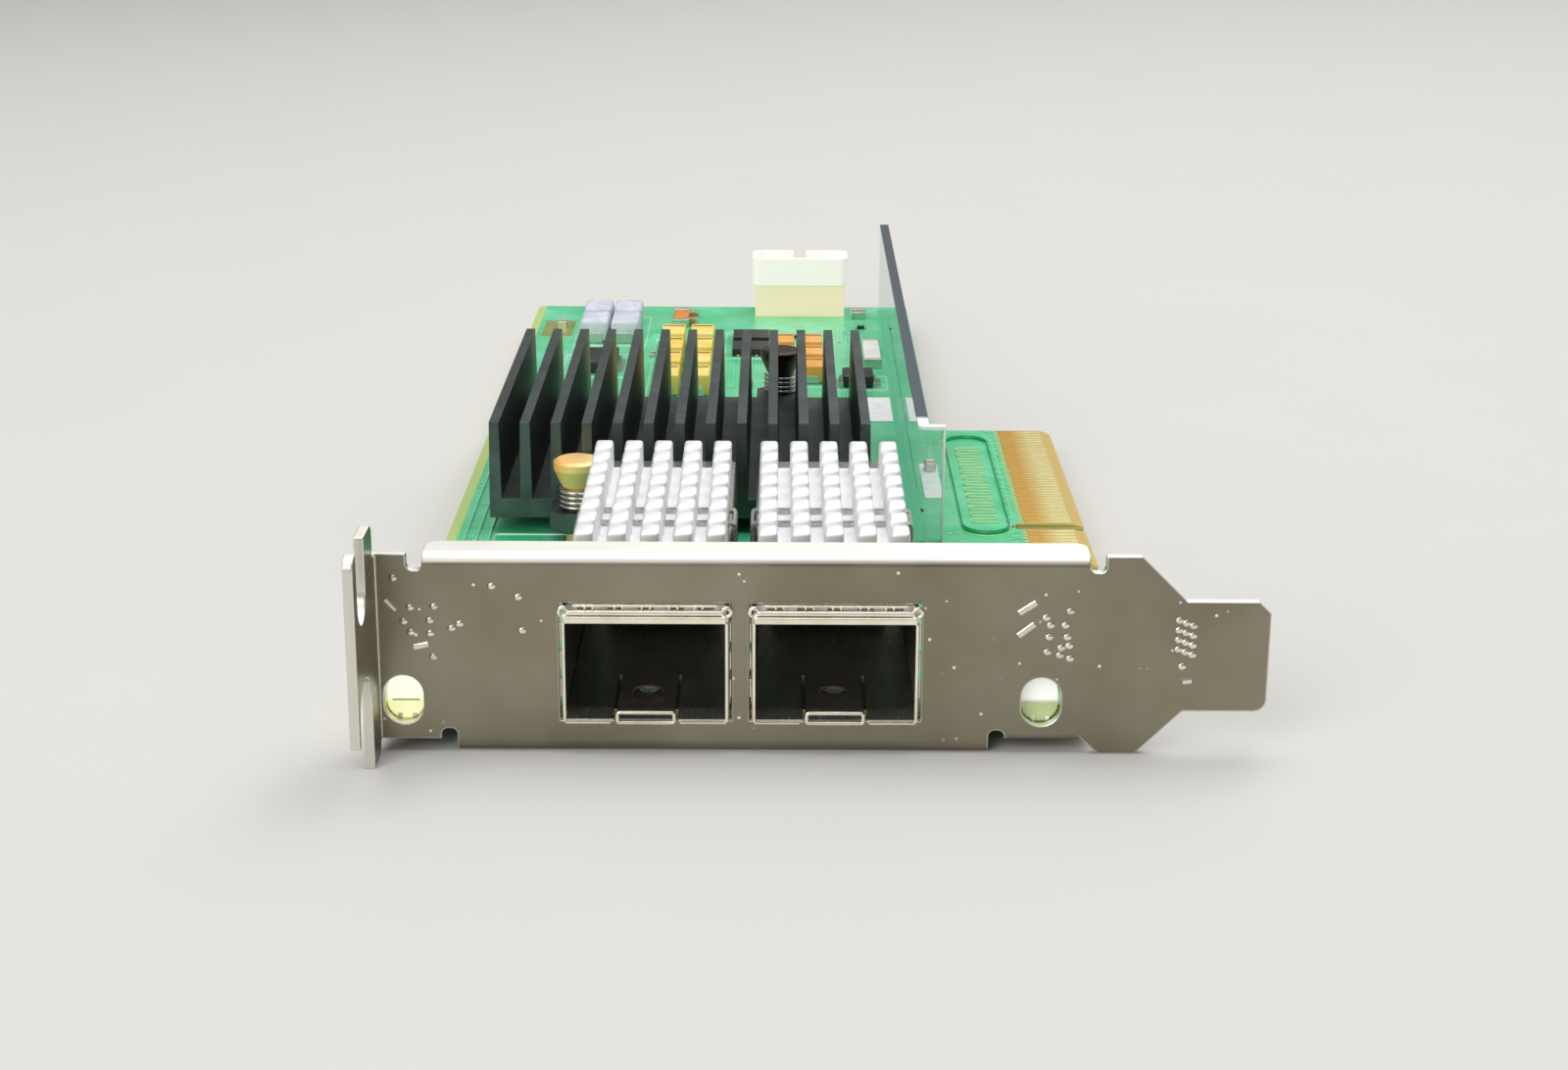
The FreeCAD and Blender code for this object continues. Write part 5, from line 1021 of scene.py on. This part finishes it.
class CARD_OT_cages(bpy.types.Operator):
    """Tin-plated cages with their sprung collars, connectors and contacts"""

    bl_idname = "card.cages"
    bl_label = "Cages"

    def execute(self, context):
        # Bright tin: nearly white where it catches the lamp and dark where it looks into the port.
        tin = metal("bright_tin_plated_steel", "#C9C7C0", "#DEDCD4", 0.24, edge=0.08)
        # Spring bronze under worn tin: the brightest metal here, with a warm cast.
        spring = metal("burnished_tin_on_copper_spring", "#EFE9D2", "#FFFBEA", 0.22, lump=0.5)
        # Matt black polymer with the sheen of a fine spark-eroded mould.
        body = plastic("black_liquid_crystal_polymer", "#2C2F2A", "#3C3F37", 0.5)
        # Matt tin: a soft grey without reflections.
        leads = metal("matt_tin_on_copper_leads", "#B9B7B0", "#CFCDC6", 0.35)
        # Thin gold: deep yellow points in the dark of the port.
        gold = metal("gold_flashed_contacts", "#D9A648", "#F0CB72", 0.25, lump=0.3)
        # Latch steel deep in the port, painted dark brown as the shade there, hardly lighter than the
        # dark of the port.
        dull = metal("shade_darkened_latch_steel", "#4A3C30", "#5E4E40", 0.5)
        for side in SIDES:
            paint(tin, "cage_shell_" + side, "cage_floor_" + side)
            paint(body, "host_connector_" + side)
            paint(leads, "host_leads_" + side)
            low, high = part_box("cage_shell_" + side)
            middle = ((low.x + high.x) / 2 - BRACKET_LOW.x) / MM
            name = "port_collar_" + side
            collar = add_piece(name, collar_mesh(name, middle), spring)
            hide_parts("grounding_collar_" + side)
            lay_wire("collar_wires_" + side, collar_tips(middle), spring, radius=0.13, corner=0.25)
            lay_wire("latch_arch_" + side, latch_arch(middle), dull, radius=0.09, corner=0.2)
            rings = collar_rings(middle)
            lay_wire("collar_loops_" + side, rings, spring, radius=0.19, corner=0.2, closed=True)
            port_contacts(side, gold)
        return {"FINISHED"}


class CARD_OT_cage_sinks(bpy.types.Operator):
    """Bright aluminium pin heat sinks and their clips"""

    bl_idname = "card.cage_sinks"
    bl_label = "Cage heat sinks"

    def execute(self, context):
        round_by = context.scene.card_sizes.pin_rounding
        # Clear anodised aluminium: etched to a white bloom, so it is bright without a mirror shine.
        bright = metal(
            "clear_anodised_aluminium", "#F8F9F9", "#FFFFFF", 0.6, lump=0.6, depth=0.006, edge=0.15
        )
        # Rolled spring steel: a darker, smoother grey than the heat sink it holds.
        steel = metal("stainless_spring_steel", "#B9B8B3", "#D2D1CC", 0.28, edge=0.08)
        columns = 5
        rows = 8
        wide = 1.8 * MM
        deep = 2.7 * MM
        tall = 2.9 * MM
        # The foot goes down through the window in the cage, in from the edges of the base.
        foot = Vector((5.0, 5.5, 0)) * MM
        for side in SIDES:
            name = "cage_heat_sink_" + side
            low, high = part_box(name)
            base_top = high.z - tall
            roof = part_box("cage_shell_" + side)[1].z
            middle = (low.x + high.x) / 2
            plates = [
                ((low.x, low.y, roof), (high.x, high.y, base_top)),
                ((middle - foot.x, low.y + foot.y, low.z), (middle + foot.x, high.y - foot.y, roof)),
            ]
            base = add_blocks("pin_sink_base_" + side, plates, bright, 0.12 * MM)
            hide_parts(name)
            pitch_x = (high.x - low.x - wide) / (columns - 1)
            pitch_y = (high.y - low.y - deep) / (rows - 1)
            places = []
            for column in range(columns):
                x = low.x + wide / 2 + column * pitch_x
                places += [(x, low.y + deep / 2 + row * pitch_y, base_top) for row in range(rows)]
            block = ((-wide / 2, -deep / 2, -round_by), (wide / 2, deep / 2, tall))
            pin = blocks_mesh("pin", [block], round_by, 3, smooth=True)
            scatter("pin_sink_pins_" + side, pin, bright, places)
            paint(steel, "heat_sink_clip_" + side)
        return {"FINISHED"}


# ---------- parts on the board


class CARD_OT_main_sink(bpy.types.Operator):
    """Black heat sink over the controller"""

    bl_idname = "card.main_sink"
    bl_label = "Main heat sink"

    def execute(self, context):
        # Dyed anodising: a satin black with a cool sheen along the extrusion.
        black = metal(
            "black_anodised_aluminium", "#525A58", "#66706D", 0.46, lump=0.6, depth=0.01, edge=0.12
        )
        paint(black, "main_heat_sink")
        # Transfer-moulded epoxy: dull black, slightly grainy.
        paint(plastic("moulded_epoxy_package", "#17191A", "#1F2223", 0.55), "controller_chip")
        # Filled silicone: chalky grey and soft at its edges.
        paint(plastic("grey_silicone_pad", "#8F9396", "#A2A6A8", 0.7), "thermal_pad")
        return {"FINISHED"}


class CARD_OT_push_pins(bpy.types.Operator):
    """Brass push pins with their coil springs"""

    bl_idname = "card.push_pins"
    bl_label = "Push pins"

    def execute(self, context):
        sizes = context.scene.card_sizes
        thick = sizes.coil_wire
        # Turned brass: warm orange-gold with a soft turned sheen.
        brass = metal("turned_brass", "#FFCE7C", "#FFE9B0", 0.65, edge=0.1)
        # The rear pin is coloured dark brown-black, so it all but vanishes among the fins.
        dark_rear_pin = metal("dark_rear_pin_brass", "#3A3026", "#524537", 0.4, edge=0.1)
        # Drawn spring wire: a fine, even grey glint along each turn.
        wire = metal("music_wire_spring_steel", "#B4B3AE", "#CCCBC6", 0.25)
        coil = coil_tree()
        for which, finish in (("front", brass), ("rear", dark_rear_pin)):
            paint(finish, "push_pin_" + which)
            low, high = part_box("push_pin_spring_" + which)
            middle = (low + high) / 2
            piece = grow(
                "coil_spring_" + which, coil,
                points_mesh("coil_foot", [(middle.x, middle.y, low.z + thick / 2)]),
                Turns=sizes.coil_turns, Radius=(high.x - low.x - thick) / 2,
                Rise=high.z - low.z - thick, Wire=thick / 2, Finish=wire,
            )
            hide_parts("push_pin_spring_" + which)
        return {"FINISHED"}


class CARD_OT_lamps(bpy.types.Operator):
    """The two status lamps behind the bracket"""

    bl_idname = "card.lamps"
    bl_label = "Lamps"

    def execute(self, context):
        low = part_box("status_lamp_left")[0]
        tones = {
            # Diffusing epoxy, tinted pale yellow-green all over, whiter at the top as a painted
            # highlight.
            "left": ("pale_yellow_green_lamp_epoxy", "#F3F5BE", "#FCFDEC", 0.7),
            # The same epoxy, tinted green low down and milky white above, where a highlight is painted.
            "right": ("milky_white_lamp_epoxy", "#AFC088", "#FDFDF8", 0.35),
        }
        feet = []
        bars = []
        for side in SIDES:
            name, foot, crown, glow = tones[side]
            # Each lamp is whiter towards its crown as a painted highlight, and has a painted glow that
            # stands in for room light passing through it.
            lamp = graded(name, foot, crown, low.z + 1.7 * MM, low.z + 2.1 * MM, 0.25, glow=glow)
            paint(lamp, "status_lamp_" + side)
            left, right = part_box("status_lamp_" + side)
            middle = (left.x + right.x) / 2
            for x in (-0.75, 0.55):
                foot_low = Vector((middle + x * MM, left.y - 0.16 * MM, 2.62 * MM))
                feet.append((foot_low, foot_low + Vector((0.42, 0.16, 0.6)) * MM))
            bar_low = Vector((middle - 1.2 * MM, left.y - 0.05 * MM, 4.35 * MM))
            bars.append((bar_low, bar_low + Vector((2.4, 0.08, 0.16)) * MM))
        # Solder-dipped feet: frosty and nearly white.
        tin = metal("tinned_lamp_feet", "#F4F2E8", "#FFFFFA", 0.5)
        add_blocks("lamp_feet", feet, tin, 0.06 * MM)
        # The mould's flash line across each lens.
        seam = plastic("lamp_epoxy_flash", "#E9F0D6", "#FCFFF2", 0.3)
        add_blocks("lamp_seams", bars, seam, 0.03 * MM)
        return {"FINISHED"}


class CARD_OT_header(bpy.types.Operator):
    """White header at the rear edge"""

    bl_idname = "card.header"
    bl_label = "Rear header"

    def execute(self, context):
        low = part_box("rear_header")[0]
        # Natural nylon: cream low down as painted shade, white above, and a painted glow over the whole.
        nylon = graded(
            "natural_nylon_moulding", "#FFE4C4", "#FFF3EF", low.z + 4.4 * MM, low.z + 4.9 * MM, 0.45,
            glow=0.27,
        )
        paint(nylon, "rear_header")
        # Tinned brass: silver with a faint yellow cast.
        paint(metal("tinned_brass_pins", "#CFC9B4", "#E2DDC9", 0.25), "rear_header_pins")
        return {"FINISHED"}


def moulded(name, finish, rounding, tin, mark=None):
    """Moulded parts on every place of a CAD node, with terminals and perhaps a plain band."""
    boxes = solids_of(name)
    places = feet_of(boxes)
    size = boxes[0][1] - boxes[0][0]
    half = size / 2
    lift = 0.12 * MM
    block = ((-half.x, lift - half.y, lift), (half.x, half.y - lift, size.z))
    body = blocks_mesh("body", [block], rounding, 3, smooth=True)
    piece = scatter(name + "_bodies", body, finish, places)
    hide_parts(name)
    ends = []
    across = half.x * 0.6
    for sense in (-1, 1):
        face = sense * half.y
        for depth, top in ((lift * 1.4, size.z * 0.45), (1.3 * MM, lift)):
            near, far = sorted((face, face - sense * depth))
            ends.append(((-across, near, 0.0), (across, far, top)))
    scatter(name + "_terminals", blocks_mesh("ends", ends, 0.04 * MM), tin, places)
    if mark:
        band = (
            (rounding - half.x, half.y - 1.5 * MM, size.z - 0.02 * MM),
            (half.x - rounding, half.y - 1.0 * MM, size.z + 0.03 * MM),
        )
        scatter(name + "_bands", blocks_mesh("band", [band]), mark, places)


def capped(name, share, finish, tin):
    """Chip parts on every place of a CAD node: a body between two plated end caps."""
    boxes = solids_of(name)
    size = boxes[0][1] - boxes[0][0]
    long = max(size.x, size.y) / 2
    wide = min(size.x, size.y) / 2
    slip = 0.05 * MM
    places = feet_of(boxes)
    turns = [0.0 if b.x - a.x > b.y - a.y else math.pi / 2 for a, b in boxes]
    block = ((-long + slip, slip - wide, slip), (long - slip, wide - slip, size.z - slip))
    body = blocks_mesh("body", [block], 0.05 * MM)
    piece = scatter(name + "_bodies", body, finish, places, turns)
    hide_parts(name)
    reach = 2 * long * share
    caps = [
        ((-long, -wide, 0.0), (reach - long, wide, size.z)),
        ((long - reach, -wide, 0.0), (long, wide, size.z)),
    ]
    scatter(name + "_caps", blocks_mesh("caps", caps, 0.09 * MM), tin, places, turns)


class CARD_OT_power_parts(bpy.types.Operator):
    """Inductors, moulded capacitors and power switches"""

    bl_idname = "card.power_parts"
    bl_label = "Power parts"

    def execute(self, context):
        # Tin plate: plain silver, a little frosted.
        tin = metal("tinned_terminals", "#CBC8BE", "#E3E0D6", 0.3)
        # Pressed iron powder under a lilac-grey paint that shows the grain of the powder.
        powder = plastic("coated_iron_powder", "#C4C6D6", "#DEE0EA", 0.6, lump=0.2, depth=0.03)
        moulded("power_inductors", powder, 0.5 * MM, tin)
        # Tantalum mouldings: warm matt epoxy, paler where the mould has polished it.
        band = plastic("brown_band_ink", "#7A4A12", "#8E5A1C", 0.5)
        yellow = plastic("yellow_moulded_epoxy", "#F5D05A", "#FFE888", 0.5)
        orange = plastic("orange_moulded_epoxy", "#EAA240", "#F8BC62", 0.5)
        moulded("bulk_capacitors", yellow, 0.18 * MM, tin, band)
        moulded("small_bulk_capacitors", orange, 0.15 * MM, tin, band)
        # Power package epoxy: matt black with a slightly blue cast.
        paint(plastic("black_power_package_epoxy", "#1A1C1D", "#242728", 0.5), "power_switches")
        legs = []
        leg = Vector((0.42, 0.45, 0.25)) * MM
        for low, high in solids_of("power_switches"):
            for k in range(4):
                for y in (low.y - 0.35 * MM, high.y - 0.1 * MM):
                    corner = Vector((low.x + (0.6 + 1.27 * k) * MM, y, low.z))
                    legs.append((corner, corner + leg))
        add_blocks("switch_legs", legs, tin, 0.05 * MM)
        return {"FINISHED"}


class CARD_OT_small_parts(bpy.types.Operator):
    """Ceramic capacitors, chip resistors and a few small plain parts"""

    bl_idname = "card.small_parts"
    bl_label = "Small parts"

    def execute(self, context):
        # Plated end caps: soft silver with solder drawn up them.
        tin = metal("tin_end_caps", "#C9C7BE", "#E2E0D8", 0.28, lump=0.3)
        # Fired barium titanate: smooth tan ceramic with a faint speckle.
        ceramic = plastic("fired_tan_ceramic", "#A98455", "#C7A276", 0.4, lump=0.2)
        # Overglaze on the resistor: glassy black over a white body.
        glaze = plastic("black_resistor_glaze", "#17191D", "#24282C", 0.25)
        capped("ceramic_capacitors", 0.22, ceramic, tin)
        capped("underside_capacitors", 0.22, ceramic, tin)
        capped("chip_resistors", 0.18, glaze, tin)
        # Sintered alumina, amber moulding and brown ceramic: smooth, with a low waxy shine.
        white = plastic("white_alumina_block", "#E9E9E2", "#FAFAF5", 0.4)
        amber = plastic("amber_fuse_moulding", "#D9822B", "#EFA049", 0.4)
        brown = plastic("brown_ceramic_block", "#8A5F3A", "#A57750", 0.45)
        cap = 0.7
        shift = Vector((0.12, 0.4, 0.12)) * MM
        for name, finish, left, front, right, rear, tall in (
            ("white_filter_block", white, 47.4, 127.0, 49.9, 139.0, 1.4),
            ("white_array_front", white, 47.3, 55.4, 49.7, 60.6, 1.0),
            ("amber_fuse", amber, 20.7, 151.2, 23.1, 159.0, 1.2),
            ("brown_block", brown, 46.4, 157.2, 48.6, 160.0, 1.0),
        ):
            near = on_board(left, front)
            far = on_board(right, rear) + up(tall)
            add_blocks(name, [(near + shift, far - shift)], finish, 0.15 * MM)
            ends = [
                (near, on_board(right, front + cap) + up(tall)), (on_board(left, rear - cap), far),
            ]
            add_blocks(name + "_ends", ends, tin, 0.1 * MM)
        return {"FINISHED"}


def leaded(name, count, black, tin):
    """A moulded body with its parting line, a pin-one dimple and gull-wing leads."""
    low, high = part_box(name)
    reach = 1.05 * MM
    slope = 0.06 * MM
    waist = 0.45 * (high.z - low.z)
    left = low.x + reach
    right = high.x - reach
    foot = low.z + 0.12 * MM
    shells = [
        ((left, low.y, foot + waist - 0.12 * MM), (right, high.y, high.z)),
        ((left + slope, low.y + slope, foot), (right - slope, high.y - slope, foot + waist)),
    ]
    body = add_blocks(name + "_body", shells, black, 0.12 * MM)
    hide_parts(name)
    corner = (left + 0.9 * MM, low.y + 0.9 * MM, high.z)
    dimple = cone_mesh(name + "_dimple", 20, 0.42, 0.34, 0.04, corner)
    # The ejector pin polished the dimple, so it glints a shade paler than the body.
    add_piece(name + "_dimple", dimple, plastic("polished_dimple", "#3A3D3F", "#474B4D", 0.25))
    rise = waist / MM
    section = (
        (-0.1, rise), (0.3, rise), (0.52, 0.2), (1.02, 0.2), (1.02, 0.0), (0.4, 0.0),
        (0.2, rise - 0.18), (-0.1, rise - 0.18),
    )
    lead = extruded_mesh("lead", [(x * MM, z * MM) for x, z in section], 0.2 * MM)
    places = []
    for k in range(count):
        y = (low.y + high.y) / 2 + (k - (count - 1) / 2) * 1.27 * MM
        places += [(right, y, low.z), (left, y, low.z)]
    scatter(name + "_leads", lead, tin, places, [0.0, math.pi] * count)


class CARD_OT_packages(bpy.types.Operator):
    """Memory, regulator and crystal"""

    bl_idname = "card.packages"
    bl_label = "Packages"

    def execute(self, context):
        # Transfer-moulded epoxy: dull black with a fine sparkle from its filler.
        black = plastic("black_transfer_moulding", "#17191A", "#232627", 0.5, lump=0.25)
        # Matt tin on the leads: pale grey with soft edges.
        tin = metal("matt_tin_package_leads", "#C2C0B7", "#D9D7CE", 0.32)
        leaded("memory_chip", 4, black, tin)
        leaded("regulator_chip", 6, black, tin)
        # Drawn nickel-silver lid, brighter round its welded rim.
        paint(metal("nickel_silver_can", "#BDBCB4", "#DAD9D1", 0.25, edge=0.15), "crystal")
        return {"FINISHED"}


class CARD_OT_guard(bpy.types.Operator):
    """Clear guard along the right edge"""

    bl_idname = "card.guard"
    bl_label = "Edge guard"

    def execute(self, context):
        paint(clear_polycarbonate(), "edge_guard")
        return {"FINISHED"}


# ---------- panel and run


OPERATORS = (
    CARD_OT_stage, CARD_OT_bracket, CARD_OT_board, CARD_OT_cages, CARD_OT_cage_sinks, CARD_OT_main_sink,
    CARD_OT_push_pins, CARD_OT_lamps, CARD_OT_header, CARD_OT_power_parts, CARD_OT_small_parts,
    CARD_OT_packages, CARD_OT_guard,
)


class CARD_PT_panel(bpy.types.Panel):
    """Buttons for each group of pieces, with their sizes and colours"""

    bl_idname = "CARD_PT_panel"
    bl_label = "Network card"
    bl_space_type = "VIEW_3D"
    bl_region_type = "UI"
    bl_category = "Card"

    def draw(self, context):
        layout = self.layout
        for settings in (context.scene.card_sizes, context.scene.card_colours):
            for name in settings.bl_rna.properties.keys():
                if name not in ("rna_type", "name"):
                    layout.prop(settings, name)
        for operator in OPERATORS:
            layout.operator(operator.bl_idname)


def register():
    """Make the settings, operators and panel known."""
    for item in (CardSizes, CardColours, *OPERATORS, CARD_PT_panel):
        bpy.utils.register_class(item)
    bpy.types.Scene.card_sizes = bpy.props.PointerProperty(type=CardSizes)
    bpy.types.Scene.card_colours = bpy.props.PointerProperty(type=CardColours)


def unregister():
    """Take them away again."""
    del bpy.types.Scene.card_colours
    del bpy.types.Scene.card_sizes
    for item in (CARD_PT_panel, *reversed(OPERATORS), CardColours, CardSizes):
        bpy.utils.unregister_class(item)


def main():
    """Dress the card: every group in order."""
    register()
    for operator in OPERATORS:
        group, action = operator.bl_idname.split(".")
        getattr(getattr(bpy.ops, group), action)()


if __name__ == "__main__":
    main()
